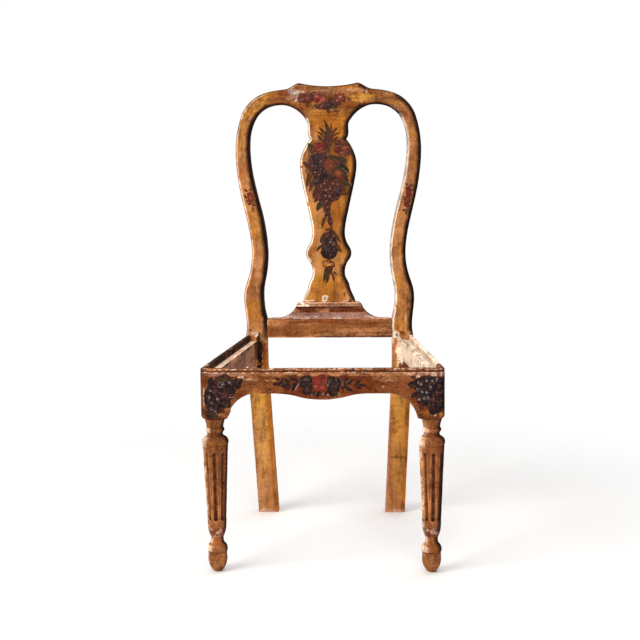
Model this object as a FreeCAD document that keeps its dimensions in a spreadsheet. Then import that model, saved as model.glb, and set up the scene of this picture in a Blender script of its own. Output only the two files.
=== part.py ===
import FreeCAD, Part
import math
import os

import Sketcher

# A painted side chair with a hooped back, a vase-shaped splat and an open seat frame, whose loose
# seat is missing. Seen from the front X runs to the right, Y to the back and Z up from the floor.
# Lengths are in millimetres.

# Driving dimensions, one group for each piece
driving_sizes = {
    # The whole chair
    "seat_height": 433.0,
    "seat_width": 500.0,
    "seat_rear_width": 385.2,
    "seat_depth": 407.0,
    "back_rise": 573.0,
    "back_width": 424.0,
    "back_lean": 73.0,
    "rear_rake": 44.0,
    # Seat rails and the rebate that the loose seat drops into
    "rail_lip": 10.5,
    "rail_ledge": 17.0,
    "rebate_depth": 12.0,
    "side_rail_height": 55.0,
    "lip_height": 5.5,
    "lip_round": 4.5,
    "quirk_height": 2.5,
    "quirk_depth": 1.2,
    # Front rail
    "front_rail_height": 52.0,
    "front_rail_drop": 13.0,
    "front_drop_width": 194.0,
    "front_lobe_width": 100.0,
    # Brackets under the front rail
    "bracket_width": 50.5,
    "bracket_height": 46.0,
    # Front leg blocks
    "block_width": 58.5,
    "block_depth": 55.0,
    "block_height": 106.0,
    "block_corner": 16.0,
    "block_round": 8.0,
    # Front leg turning, from the floor up
    "leg_inset": 28.0,
    "leg_setback": 27.5,
    "foot_tip_radius": 8.0,
    "foot_radius": 19.6,
    "foot_height": 43.5,
    "foot_ring_radius": 20.8,
    "foot_ring_height": 14.0,
    "ankle_radius": 13.1,
    "ankle_height": 17.0,
    "shaft_toe_height": 23.0,
    "shaft_low_radius": 19.4,
    "shaft_high_radius": 26.3,
    "collar_radius": 27.0,
    "collar_height": 17.0,
    "neck_radius": 16.2,
    "neck_height": 10.0,
    "bead_radius": 19.9,
    "bead_height": 9.0,
    "throat_radius": 21.5,
    "throat_height": 21.0,
    # Stopped flutes of the front legs
    "flute_count": 8.0,
    "flute_width": 11.0,
    "flute_depth": 3.4,
    "flute_end_gap": 12.0,
    "flute_turn_left": 0.0,
    "flute_turn_right": 8.0,
    # Rear posts, each sawn in one piece from foot to crest
    "rear_foot_width": 346.6,
    "post_foot_width": 47.0,
    "post_foot_depth": 32.0,
    "post_seat_width": 49.6,
    "post_depth": 34.0,
    "post_top_depth": 27.0,
    "post_flat_drop": 71.0,
    "stile_width": 38.0,
    "stile_round": 6.0,
    "back_round": 3.0,
    # Rear rail
    "rear_rail_rise": 37.0,
    "rear_rail_height": 43.0,
    "rear_rail_depth": 24.0,
    # Crest rail
    "crest_drop": 78.0,
    "crest_ear_span": 137.2,
    "crest_dip": 8.0,
    "crest_neck_drop": 85.0,
    # Splat
    "splat_width": 129.2,
    "splat_thickness": 13.0,
    "splat_foot_setback": 6.0,
    "splat_head_setback": 1.5,
    "splat_round": 4.0,
    # Shoe between splat and rear rail
    "shoe_height": 39.0,
    "shoe_end_gap": 7.0,
    "shoe_edge": 1.5,
    "shoe_plate_height": 11.0,
    "shoe_overhang": 12.5,
    "shoe_margin": 3.0,
    "shoe_cove": 7.0,
    "shoe_plate_setback": 1.0,
    # Mortise and tenon joints and their pegs
    "tenon_thickness": 9.0,
    "tenon_length": 23.0,
    "tenon_shoulder": 6.0,
    "tenon_end_gap": 1.0,
    "joint_clearance": 0.15,
    "crest_tenon_width": 17.0,
    "crest_tenon_height": 15.0,
    "crest_tenon_shift": 4.0,
    "splat_tenon_height": 12.0,
    "splat_tenon_shoulder": 8.0,
    "peg_diameter": 7.0,
    "peg_wall": 5.0,
    "peg_spread": 15.0,
    # Overrun of every cut
    "overrun": 5.0,
}

# Outer edge of a stile, with a shoulder below its waist: height above the seat as a share of
# back_rise, and half width as a share of half of back_width
stile_outer_shares = (
    (0.117, 0.915),
    (0.152, 0.92),
    (0.187, 0.9095),
    (0.2216, 0.879),
    (0.262, 0.848),
    (0.316, 0.829),
    (0.394, 0.843),
    (0.489, 0.8976),
    (0.583, 0.956),
    (0.663, 0.9887),
    (0.7365, 1.0),
    (0.8045, 0.9854),
)

# Width of a stile at those same heights, as a share of stile_width, and at its joint
stile_width_shares = (
    1.189, 1.187, 1.151, 1.079, 1.013, 0.968, 0.97, 1.013, 0.971, 0.911, 0.868, 0.853,
)
stile_joint_outer_share = 0.9467
stile_joint_width_share = 0.974

# Top of the crest rail from the joint to the ear: half width as a share of half of back_width,
# and drop below the ears as a share of crest_drop
crest_top_shares = (
    (0.8726, 0.628),
    (0.776, 0.397),
    (0.646, 0.256),
    (0.519, 0.199),
    (0.434, 0.158),
    (0.377, 0.07),
)

# Underside of the crest rail from the joint to the neck above the splat, in the same shares
crest_under_shares = (
    (0.712, 0.824),
    (0.646, 0.715),
    (0.547, 0.65),
    (0.453, 0.658),
    (0.354, 0.769),
)
crest_neck_share = 0.2373

# Half outline of the splat from its head down: height as a share of the splat's height, half
# width as a share of half of splat_width. A cusp parts the neck from the vase, and a small step
# parts the vase from the foot.
splat_neck_shares = ((1.0, 0.772), (0.961, 0.714), (0.915, 0.706), (0.896, 0.635))
splat_vase_shares = (
    (0.896, 0.635),
    (0.881, 0.717),
    (0.847, 0.848),
    (0.811, 0.947),
    (0.769, 1.0),
    (0.721, 0.988),
    (0.648, 0.906),
    (0.561, 0.782),
    (0.473, 0.659),
    (0.396, 0.582),
    (0.354, 0.598),
    (0.330, 0.647),
    (0.308, 0.728),
    (0.286, 0.793),
    (0.265, 0.805),
    (0.243, 0.762),
    (0.221, 0.663),
    (0.194, 0.594),
    (0.165, 0.571),
    (0.138, 0.599),
    (0.114, 0.676),
    (0.092, 0.731),
)
splat_foot_shares = ((0.078, 0.746), (0.053, 0.81), (0.027, 0.886), (0.0, 0.944))

# Turned leg: where each curve ends and how far its middle bulges, as shares between the radii and
# the heights that it joins
turning_shares = {
    "foot_end": 0.78,
    "foot_bulge": (0.76, 0.29),
    "foot_edge": 0.03,
    "ring_end": 0.72,
    "ring_bulge": 0.6,
    "ankle_end": 0.72,
    "ankle_bulge": (0.14, 0.34),
    "toe_bulge": (0.66, 0.42),
    "shaft_edge": 0.1,
    "shaft_edge_radius": 0.97,
    "collar_end": 0.42,
    "collar_bulge": (0.93, 0.7),
    "neck_end": 0.62,
    "neck_bulge": (0.1, 0.26),
    "bead_low": 0.22,
    "bead_high": 0.27,
    "bead_bulge": 0.5,
    "throat_end": 0.85,
    "throat_bulge": (0.45, 0.43),
}

# Lower edges of the front rail and its brackets
lobe_low_share = 0.48
lobe_bend_shares = (0.48, 0.13)
bracket_bend_shares = (0.64, 0.34)

# Curves of the shoe: its thin tails, the edge of its plate and the cove along its front
shoe_tail_share = 0.3
shoe_edge_shares = (0.62, 0.66)
shoe_cove_shares = (0.72, 0.42)
plate_round_share = 0.3

# Heights of the pegs within their tenons
side_peg_share = 0.3
front_peg_share = 0.75
rear_peg_share = 0.5

# Largest rounding of an edge as a share of the thickness that it is cut into
edge_round_share = 0.9
wall_round_share = 0.4

Vector = FreeCAD.Vector
doc = FreeCAD.newDocument("side_chair")
sheet = doc.addObject("Spreadsheet::Sheet", "Sizes")


class Size:
    """A length from the sheet, or worked out from such lengths, that keeps its formula."""

    def __init__(self, value, formula):
        self.value = value
        self.formula = formula

    def __add__(self, other):
        return Size(self.value + other.value, f"({self.formula} + {other.formula})")

    def __sub__(self, other):
        return Size(self.value - other.value, f"({self.formula} - {other.formula})")

    def __mul__(self, share):
        if isinstance(share, Size):
            return Size(self.value * share.value, f"({self.formula} * {share.formula})")
        return Size(self.value * share, f"({self.formula} * {share})")

    def __truediv__(self, other):
        if isinstance(other, Size):
            return Size(self.value / other.value, f"({self.formula} / {other.formula})")
        return Size(self.value / other, f"({self.formula} / {other})")

    def __neg__(self):
        return Size(-self.value, f"(-{self.formula})")

    def root(self):
        return Size(math.sqrt(self.value), f"sqrt({self.formula})")


def least(first, second):
    """The smaller of two sizes."""
    return Size(min(first.value, second.value), f"min({first.formula}; {second.formula})")


def between(first, second, share):
    """A size that lies part of the way from the first to the second."""
    return first + (second - first) * share


def fill_sheet():
    """Write each driving dimension to its own named cell."""
    for row, (alias, value) in enumerate(driving_sizes.items(), start=1):
        sheet.set(f"A{row}", alias)
        sheet.set(f"B{row}", str(value))
        sheet.setAlias(f"B{row}", alias)
    doc.recompute()


def size(alias):
    """A driving dimension read back from the sheet."""
    return Size(float(sheet.get(alias)), f"Sizes.{alias}")


fill_sheet()
zero = Size(0.0, "0")

# Heights above the floor
seat_top = size("seat_height")
chair_top = seat_top + size("back_rise")
ledge_top = seat_top - size("rebate_depth")
lip_low = seat_top - size("lip_height")
quirk_low = lip_low - size("quirk_height")
side_rail_low = seat_top - size("side_rail_height")
front_rail_low = seat_top - size("front_rail_height")
block_low = seat_top - size("block_height")
rear_rail_top = seat_top + size("rear_rail_rise")
rear_rail_low = rear_rail_top - size("rear_rail_height")
post_flat_low = seat_top - size("post_flat_drop")
shoe_top = rear_rail_top + size("shoe_height")
crest_joint = chair_top - size("crest_drop")
crest_neck = chair_top - size("crest_neck_drop")

# Half widths and depths
half_front = size("seat_width") / 2
half_rear = size("seat_rear_width") / 2
half_back = size("back_width") / 2
post_front = size("seat_depth")
post_inner = half_rear - size("post_seat_width")
rail_width = size("rail_lip") + size("rail_ledge")
block_inner = half_front - size("block_width")
leg_x = half_front - size("leg_inset")
leg_y = size("leg_setback")
clearance = size("joint_clearance")
overrun = size("overrun")

# The chair stands centred on its depth, from the front rail's face to the back of the crest rail
depth_middle = (post_front + size("back_lean") + size("post_top_depth")) / 2


def side_line(y):
    """Half width of the seat's outer edge at a depth behind the front face."""
    return half_front - (half_front - half_rear) * (y / post_front)


def on_side_line(x, y):
    """Whether a point of a plan lies on the seat's outer edge, on either side."""
    return near(abs(x), side_line(Size(y, str(y))).value)


def check_state():
    """Stop if any object of the document failed."""
    for item in doc.Objects:
        if "Invalid" in item.State or "Error" in item.State:
            raise RuntimeError(f"{item.Label} is {item.State}")


# Sketch and feature helpers


def new_body(name, x=zero, y=zero):
    """A body whose own origin stands at x, y, measured from the middle of the front face."""
    body = doc.addObject("PartDesign::Body", name)
    body.Label = name
    place(body, x, y)
    return body


def place(item, x=zero, y=zero):
    """Bind a piece's placement, with the chair's middle at the origin."""
    item.setExpression("Placement.Base.x", x.formula)
    item.setExpression("Placement.Base.y", (y - depth_middle).formula)


def origin_plane(body, role):
    """One of the body's own origin planes."""
    for feature in body.Origin.OriginFeatures:
        if feature.Role == role:
            return feature
    raise RuntimeError(f"no {role} in {body.Label}")


def bind_point(sketch, geometry, position, point):
    """Fix a point of a sketch at named sizes from the sketch's origin."""
    for kind, length in (("DistanceX", point[0]), ("DistanceY", point[1])):
        rule = Sketcher.Constraint(kind, -1, 1, geometry, position, length.value)
        number = sketch.addConstraint(rule)
        sketch.setExpression(f"Constraints[{number}]", length.formula)


def flat(point):
    """The sketch point of a pair of sizes."""
    return Vector(point[0].value, point[1].value, 0)


def new_sketch(body, name, role, height=zero):
    """An empty sketch on an origin plane, moved along the plane's normal by a height."""
    sketch = body.newObject("Sketcher::SketchObject", name)
    sketch.AttachmentSupport = [(origin_plane(body, role), "")]
    sketch.MapMode = "FlatFace"
    sketch.setExpression("AttachmentOffset.Base.z", height.formula)
    return sketch


def draw(sketch, steps):
    """Draw a closed outline. A step is a corner, or an arc's end followed by a point on the arc."""
    ends = [step[:2] for step in steps]
    numbers = []
    for index, step in enumerate(steps):
        start = ends[index - 1]
        if len(step) == 2:
            number = sketch.addGeometry(Part.LineSegment(flat(start), flat(step)))
            numbers.append((number, 1, 2))
            continue
        middle = step[2:]
        first, through, last = flat(start), flat(middle), flat(ends[index])
        turns_left = (through - first).cross(last - through).z > 0
        order = (first, through, last) if turns_left else (last, through, first)
        number = sketch.addGeometry(Part.Arc(*order))
        numbers.append((number, 1, 2) if turns_left else (number, 2, 1))
        mark = sketch.addGeometry(Part.Point(flat(middle)), True)
        sketch.addConstraint(Sketcher.Constraint("PointOnObject", mark, 1, number))
        bind_point(sketch, mark, 1, middle)
    for index, (number, first, last) in enumerate(numbers):
        following, following_first, _ = numbers[(index + 1) % len(numbers)]
        rule = Sketcher.Constraint("Coincident", number, last, following, following_first)
        sketch.addConstraint(rule)
        bind_point(sketch, number, last, ends[index])


def outline(body, name, role, steps, height=zero):
    """A sketch that holds one closed outline."""
    sketch = new_sketch(body, name, role, height)
    draw(sketch, steps)
    return sketch


def circles(body, name, role, centres, radius, height=zero):
    """A sketch of equal circles."""
    sketch = new_sketch(body, name, role, height)
    for centre in centres:
        circle = Part.Circle(flat(centre), Vector(0, 0, 1), radius.value)
        number = sketch.addGeometry(circle)
        bind_point(sketch, number, 3, centre)
        rule = sketch.addConstraint(Sketcher.Constraint("Radius", number, radius.value))
        sketch.setExpression(f"Constraints[{rule}]", radius.formula)
    return sketch


def pad(body, name, sketch, length, backwards=False):
    """Add material from a sketch."""
    feature = body.newObject("PartDesign::Pad", name)
    feature.Profile = sketch
    feature.Reversed = backwards
    feature.setExpression("Length", length.formula)
    doc.recompute()
    return feature


def pocket(body, name, sketch, length, backwards=False):
    """Cut a sketch out of the body and make sure that material went."""
    before = body.Shape.Volume
    feature = body.newObject("PartDesign::Pocket", name)
    feature.Profile = sketch
    feature.Reversed = backwards
    feature.setExpression("Length", length.formula)
    doc.recompute()
    if body.Shape.Volume >= before:
        raise RuntimeError(f"{name} of {body.Label} cuts nothing")
    return feature


def edges_where(shape, test):
    """Names of the edges whose ends and middle all pass a test."""
    names = []
    for number, edge in enumerate(shape.Edges, start=1):
        middle = edge.valueAt((edge.FirstParameter + edge.LastParameter) / 2)
        points = [vertex.Point for vertex in edge.Vertexes] + [middle]
        if all(test(point) for point in points):
            names.append(f"Edge{number}")
    return names


def round_edges(body, name, test, radius):
    """Round the edges of a body that pass a test."""
    base = body.Tip
    feature = body.newObject("PartDesign::Fillet", name)
    feature.Base = (base, edges_where(base.Shape, test))
    feature.setExpression("Radius", radius.formula)
    doc.recompute()
    return feature


def near(first, second):
    """Whether two numbers are the same within a small part of a millimetre."""
    return abs(first - second) < clearance.value / 10


def level_start_bend(run, climb):
    """Middle of a round line that starts level and ends at a run and a climb from its start."""
    chord = (run * run + climb * climb).root()
    return chord / 2, chord * (chord - run) / (climb * 2)


def rectangle(left, low, right, high):
    """Corners of a rectangle."""
    return [(left, low), (right, low), (right, high), (left, high)]


# Seat joints: each tenon is an upright block whose plan and heights serve the tenon and, with the
# clearance, its mortise

tenon = size("tenon_thickness")
tenon_length = size("tenon_length")
tenon_shoulder = size("tenon_shoulder")
end_gap = size("tenon_end_gap")
peg_radius = size("peg_diameter") / 2
peg_hole = peg_radius + clearance

front_tenon_low = front_rail_low + tenon_shoulder
front_tenon_high = ledge_top - tenon_shoulder
side_tenon_low = side_rail_low + tenon_shoulder
side_tenon_high = ledge_top - tenon_shoulder
rear_tenon_low = rear_rail_low + tenon_shoulder
rear_tenon_high = rear_rail_top - tenon_shoulder

front_tenon_y = (rail_width - tenon) / 2
rear_tenon_y = post_front + (size("rear_rail_depth") - tenon) / 2


def side_tenon_plan(start, stop, grow=zero):
    """Plan of a side rail's tenon, which runs on in line with the rail."""
    outer = (rail_width - tenon) / 2 - grow
    inner = outer + tenon + grow * 2
    return [
        (side_line(start) - inner, start),
        (side_line(start) - outer, start),
        (side_line(stop) - outer, stop),
        (side_line(stop) - inner, stop),
    ]


# Heights and places of the pegs through those tenons
side_peg_z = between(side_tenon_low, side_tenon_high, side_peg_share)
front_peg_z = between(front_tenon_low, front_tenon_high, front_peg_share)
rear_peg_middle = between(rear_tenon_low, rear_tenon_high, rear_peg_share)
rear_peg_low = rear_peg_middle - size("peg_spread") / 2
rear_peg_high = rear_peg_low + size("peg_spread")
side_peg_front_y = size("block_depth") - tenon_length / 2
side_peg_rear_y = post_front + tenon_length / 2
front_peg_x = block_inner + tenon_length / 2
rear_peg_x = post_inner + tenon_length / 2
side_peg_length = size("post_seat_width") - size("peg_wall")
front_peg_length = size("block_depth") - size("peg_wall")
rear_peg_length = size("post_depth") - size("peg_wall")


def mirrored(steps, side):
    """An outline turned to the left side of the chair where the side is minus one."""
    if side > 0:
        return steps
    return [tuple(-value if index % 2 == 0 else value for index, value in enumerate(step))
            for step in steps]


# Front legs: a square block on top of a turned and fluted leg, one piece of wood


def leg_plan(steps):
    """Plan points measured from the leg's own axis."""
    return [tuple(value - (leg_x, leg_y)[index % 2] for index, value in enumerate(step))
            for step in steps]


def block_plan(inset):
    """Plan of the block with its rounded outer corner, drawn in by an inset on the outer faces."""
    corner = size("block_corner")
    depth = size("block_depth")
    front = inset
    outer_front = side_line(inset) - inset
    bend_share = 1 - math.sqrt(1 / 2)
    return [
        (block_inner, front),
        (outer_front - corner, front),
        (side_line(corner) - inset, front + corner,
         side_line(corner * bend_share) - inset - corner * bend_share, front + corner * bend_share),
        (side_line(depth) - inset, depth),
        (block_inner, depth),
    ]


def turned_profile():
    """Half section of the turned leg, from the floor up, as radius and height."""
    tip = size("foot_tip_radius")
    foot = size("foot_radius")
    ring = size("foot_ring_radius")
    ankle = size("ankle_radius")
    low = size("shaft_low_radius")
    high = size("shaft_high_radius")
    collar = size("collar_radius")
    neck = size("neck_radius")
    bead = size("bead_radius")
    throat = size("throat_radius")
    foot_top = size("foot_height")
    ring_top = foot_top + size("foot_ring_height")
    ankle_top = ring_top + size("ankle_height")
    toe_top = ankle_top + size("shaft_toe_height")
    bead_top = block_low - size("throat_height")
    neck_top = bead_top - size("bead_height")
    collar_top = neck_top - size("neck_height")
    shaft_top = collar_top - size("collar_height")
    share = turning_shares
    edge = size("collar_height") * share["shaft_edge"]

    def bulge(name, radii, heights):
        out, up = share[f"{name}_bulge"]
        return between(*radii, out), between(*heights, up)

    return [
        (zero, zero),
        (tip, zero),
        (foot, foot_top * share["foot_end"], *bulge("foot", (tip, foot), (zero, foot_top))),
        (foot, foot_top - foot_top * share["foot_edge"]),
        (ring, foot_top + foot_top * share["foot_edge"]),
        (between(ankle, ring, share["ring_end"]), ring_top,
         ring, between(foot_top, ring_top, share["ring_bulge"])),
        (ankle, between(ring_top, ankle_top, share["ankle_end"]),
         *bulge("ankle", (ankle, ring), (ring_top, ankle_top))),
        (ankle, ankle_top),
        (low, toe_top, *bulge("toe", (ankle, low), (ankle_top, toe_top))),
        (high, shaft_top - edge),
        (high * share["shaft_edge_radius"], shaft_top),
        (collar, shaft_top + edge),
        (between(neck, collar, share["collar_end"]), collar_top,
         *bulge("collar", (neck, collar), (shaft_top, collar_top))),
        (neck, between(collar_top, neck_top, share["neck_end"]),
         *bulge("neck", (neck, collar), (collar_top, neck_top))),
        (between(neck, bead, share["bead_low"]), neck_top),
        (between(neck, bead, share["bead_high"]), bead_top,
         bead, between(neck_top, bead_top, share["bead_bulge"])),
        (throat, between(bead_top, block_low, share["throat_end"]),
         *bulge("throat", (neck, throat), (bead_top, block_low))),
        (throat, block_low + size("block_round")),
        (zero, block_low + size("block_round")),
    ]


def flute_ends():
    """Radius and height of the two ends of a flute's centre line, along the tapered shaft."""
    low = size("shaft_low_radius")
    high = size("shaft_high_radius")
    toe_top = (size("foot_height") + size("foot_ring_height") + size("ankle_height")
               + size("shaft_toe_height"))
    shaft_top = (block_low - size("throat_height") - size("bead_height") - size("neck_height")
                 - size("collar_height"))
    return (low, toe_top + size("flute_end_gap")), (high, shaft_top - size("flute_end_gap"))


def cut_flutes(body, section, turn):
    """Round-ended flutes, cut by turning half a capsule about a line beside the shaft."""
    half_width = size("flute_width") / 2
    depth = size("flute_depth")
    tool = (half_width * half_width + depth * depth) / (depth * 2)
    reach = tool - depth
    (low_r, low_z), (high_r, high_z) = flute_ends()
    slope = (high_r - low_r) / (high_z - low_z)
    bend = tool * math.sqrt(1 / 2)
    tip_low = (low_r + reach, low_z)
    tip_high = (high_r + reach, high_z)
    centre_low = (tip_low[0] + slope * tool, tip_low[1] + tool)
    centre_high = (tip_high[0] - slope * tool, tip_high[1] - tool)
    steps = [
        (*tip_low, centre_low[0] - bend, centre_low[1] - bend),
        tip_high,
        (centre_high[0] - tool, centre_high[1] + slope * tool,
         centre_high[0] - bend, centre_high[1] + bend),
        (centre_low[0] - tool, centre_low[1] + slope * tool),
    ]
    sketch = new_sketch(body, "flute_section", "XZ_Plane")
    upright_axis = Vector(0, 1, 0)
    sketch.AttachmentOffset = FreeCAD.Placement(Vector(0, 0, 0), FreeCAD.Rotation(upright_axis, 1))
    sketch.setExpression("AttachmentOffset.Rotation.Angle", turn.formula)
    line = sketch.addGeometry(Part.LineSegment(flat(tip_low), flat(tip_high)), True)
    bind_point(sketch, line, 1, tip_low)
    bind_point(sketch, line, 2, tip_high)
    draw(sketch, steps)
    before = body.Shape.Volume
    groove = body.newObject("PartDesign::Groove", "flute")
    groove.Profile = sketch
    groove.ReferenceAxis = (sketch, ["Axis0"])
    groove.Angle = 360
    doc.recompute()
    pattern = body.newObject("PartDesign::PolarPattern", "flutes")
    pattern.Originals = [groove]
    pattern.Axis = (section, ["V_Axis"])
    pattern.Angle = 360
    pattern.setExpression("Occurrences", size("flute_count").formula)
    body.Tip = pattern
    doc.recompute()
    if body.Shape.Volume >= before:
        raise RuntimeError(f"the flutes of {body.Label} cut nothing")


def moulded_layers(low):
    """Name, inset, bottom and top of the three layers of a seat rail's or block's outer face."""
    return (
        ("face", zero, low, quirk_low),
        ("quirk", size("quirk_depth"), quirk_low, lip_low),
        ("lip", zero, lip_low, seat_top),
    )


def lip_radius():
    """Rounding of the seat's upper edge, limited by the lip itself."""
    thickness = least(size("lip_height"), size("rail_lip"))
    return least(size("lip_round"), thickness * edge_round_share)


def front_leg(name, side, turn):
    """One front leg with its block, mortises, peg holes, turning and flutes."""
    body = new_body(name, leg_x * side, leg_y)
    depth = size("block_depth")
    lip = size("rail_lip")
    for label, inset, low, high in moulded_layers(block_low):
        plan = mirrored(leg_plan(block_plan(inset)), side)
        pad(body, label, outline(body, f"{label}_plan", "XY_Plane", plan, low), high - low)

    def on_outer_face(point):
        x = abs(point.x + leg_x.value * side)
        y = point.y + leg_y.value
        corner = size("block_corner").value
        in_corner = y <= corner and x >= half_front.value - corner - clearance.value
        return near(point.z, seat_top.value) and (near(y, 0) or on_side_line(x, y) or in_corner)

    round_edges(body, "lip_rounding", on_outer_face, lip_radius())
    block_round = least(size("block_round"), size("block_corner") * edge_round_share)
    round_edges(body, "block_rounding", lambda point: near(point.z, block_low.value), block_round)

    section = outline(body, "leg_section", "XZ_Plane", turned_profile())
    turning = body.newObject("PartDesign::Revolution", "turning")
    turning.Profile = section
    turning.ReferenceAxis = (section, ["V_Axis"])
    turning.Angle = 360
    doc.recompute()
    cut_flutes(body, section, turn)

    rebate = [
        (block_inner - overrun, lip),
        (side_line(lip) - lip, lip),
        (side_line(depth + overrun) - lip, depth + overrun),
        (block_inner - overrun, depth + overrun),
    ]
    rebate_plan = mirrored(leg_plan(rebate), side)
    rebate_sketch = outline(body, "rebate_plan", "XY_Plane", rebate_plan, seat_top)
    pocket(body, "rebate", rebate_sketch, size("rebate_depth"))

    front_mortise = rectangle(block_inner - overrun, front_tenon_y - clearance,
                              block_inner + tenon_length + end_gap,
                              front_tenon_y + tenon + clearance)
    side_mortise = side_tenon_plan(depth + overrun, depth - tenon_length - end_gap, clearance)
    mortises = (
        ("front_mortise", front_mortise, front_tenon_low, front_tenon_high),
        ("side_mortise", side_mortise, side_tenon_low, side_tenon_high),
    )
    for label, steps, low, high in mortises:
        plan = mirrored(leg_plan(steps), side)
        sketch = outline(body, f"{label}_plan", "XY_Plane", plan, low - clearance)
        pocket(body, label, sketch, high - low + clearance * 2, backwards=True)

    front_hole = [((front_peg_x - leg_x) * side, front_peg_z)]
    sketch = circles(body, "front_peg_place", "XZ_Plane", front_hole, peg_hole, leg_y - depth)
    pocket(body, "front_peg_hole", sketch, front_peg_length, backwards=True)
    side_hole = [(side_peg_front_y - leg_y, side_peg_z)]
    inner_face = (block_inner - leg_x) * side
    sketch = circles(body, "side_peg_place", "YZ_Plane", side_hole, peg_hole, inner_face)
    pocket(body, "side_peg_hole", sketch, side_peg_length, backwards=side > 0)
    return body


# Brackets glued under the front rail beside the blocks


def front_bracket(name, side):
    """One bracket, whose lower edge curves from the rail down to the foot of the block."""
    body = new_body(name)
    width = size("bracket_width")
    height = size("bracket_height")
    tip = block_inner - width
    toe = front_rail_low - height
    bend_x, bend_z = bracket_bend_shares
    steps = [
        (block_inner, front_rail_low),
        (tip, front_rail_low),
        (block_inner, toe,
         between(tip, block_inner, bend_x), between(front_rail_low, toe, bend_z)),
    ]
    sketch = outline(body, "bracket_front", "XZ_Plane", mirrored(steps, side))
    pad(body, "bracket", sketch, rail_width, backwards=True)
    return body


# Front rail with its shaped lower edge


def front_rail(name):
    """The front seat rail, with a hanging lobe in the middle and a tenon at each end."""
    body = new_body(name)
    drop = size("front_rail_drop")
    half_drop = size("front_drop_width") / 2
    half_lobe = size("front_lobe_width") / 2
    lobe_low = front_rail_low - drop * lobe_low_share
    bend_x = between(half_lobe, half_drop, lobe_bend_shares[0])
    bend_z = front_rail_low - drop * lobe_bend_shares[1]
    face = [
        (-half_drop, front_rail_low),
        (-half_lobe, lobe_low, -bend_x, bend_z),
        (half_lobe, lobe_low, zero, front_rail_low - drop),
        (half_drop, front_rail_low, bend_x, bend_z),
        (block_inner, front_rail_low),
        (block_inner, quirk_low),
        (-block_inner, quirk_low),
        (-block_inner, front_rail_low),
    ]
    sketch = outline(body, "rail_front", "XZ_Plane", face)
    pad(body, "face", sketch, rail_width, backwards=True)
    for label, inset, low, high in moulded_layers(front_rail_low)[1:]:
        plan = rectangle(-block_inner, inset, block_inner, rail_width)
        pad(body, label, outline(body, f"{label}_plan", "XY_Plane", plan, low), high - low)

    def on_front_edge(point):
        return near(point.z, seat_top.value) and near(point.y, 0)

    round_edges(body, "lip_rounding", on_front_edge, lip_radius())
    rebate = rectangle(-block_inner - overrun, size("rail_lip"), block_inner + overrun,
                       rail_width + overrun)
    sketch = outline(body, "rebate_plan", "XY_Plane", rebate, seat_top)
    pocket(body, "rebate", sketch, size("rebate_depth"))
    for label, side in (("left_tenon", -1), ("right_tenon", 1)):
        plan = mirrored(rectangle(block_inner, front_tenon_y, block_inner + tenon_length,
                                  front_tenon_y + tenon), side)
        sketch = outline(body, f"{label}_plan", "XY_Plane", plan, front_tenon_low)
        pad(body, label, sketch, front_tenon_high - front_tenon_low)
    holes = [(front_peg_x * side, front_peg_z) for side in (-1, 1)]
    sketch = circles(body, "peg_places", "XZ_Plane", holes, peg_hole)
    pocket(body, "peg_holes", sketch, rail_width)
    return body


# Side rails, which run in at a slant from the blocks to the rear posts


def side_rail(name, side):
    """One side rail with its rebate and a tenon in line with it at each end."""
    body = new_body(name)
    start = size("block_depth")
    stop = post_front
    for label, inset, low, high in moulded_layers(side_rail_low):
        plan = [
            (side_line(start) - rail_width, start),
            (side_line(start) - inset, start),
            (side_line(stop) - inset, stop),
            (side_line(stop) - rail_width, stop),
        ]
        sketch = outline(body, f"{label}_plan", "XY_Plane", mirrored(plan, side), low)
        pad(body, label, sketch, high - low)

    def on_outer_edge(point):
        return near(point.z, seat_top.value) and on_side_line(point.x, point.y)

    round_edges(body, "lip_rounding", on_outer_edge, lip_radius())
    lip = size("rail_lip")
    first = start - overrun
    last = stop + overrun
    rebate = [
        (side_line(first) - rail_width - overrun, first),
        (side_line(first) - lip, first),
        (side_line(last) - lip, last),
        (side_line(last) - rail_width - overrun, last),
    ]
    sketch = outline(body, "rebate_plan", "XY_Plane", mirrored(rebate, side), seat_top)
    pocket(body, "rebate", sketch, size("rebate_depth"))
    ends = (("front_tenon", start, start - tenon_length), ("rear_tenon", stop, stop + tenon_length))
    for label, root, tip in ends:
        plan = mirrored(side_tenon_plan(root, tip), side)
        sketch = outline(body, f"{label}_plan", "XY_Plane", plan, side_tenon_low)
        pad(body, label, sketch, side_tenon_high - side_tenon_low)
    holes = [(side_peg_front_y, side_peg_z), (side_peg_rear_y, side_peg_z)]
    sketch = circles(body, "peg_places", "YZ_Plane", holes, peg_hole, half_front * side)
    pocket(body, "peg_holes", sketch, half_front, backwards=side < 0)
    return body


# Rear rail between the posts


def rear_rail(name):
    """The rear seat rail, which stands above the seat and carries the shoe."""
    body = new_body(name)
    plan = rectangle(-post_inner, post_front, post_inner, post_front + size("rear_rail_depth"))
    sketch = outline(body, "rail_plan", "XY_Plane", plan, rear_rail_low)
    pad(body, "rail", sketch, size("rear_rail_height"))
    for label, side in (("left_tenon", -1), ("right_tenon", 1)):
        plan = mirrored(rectangle(post_inner, rear_tenon_y, post_inner + tenon_length,
                                  rear_tenon_y + tenon), side)
        sketch = outline(body, f"{label}_plan", "XY_Plane", plan, rear_tenon_low)
        pad(body, label, sketch, rear_tenon_high - rear_tenon_low)
    holes = [(rear_peg_x * side, height)
             for side in (-1, 1) for height in (rear_peg_low, rear_peg_high)]
    sketch = circles(body, "peg_places", "XZ_Plane", holes, peg_hole, -post_front)
    pocket(body, "peg_holes", sketch, size("rear_rail_depth"))
    return body


# Shoe, a coved plinth on the rear rail that holds the splat's foot

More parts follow.
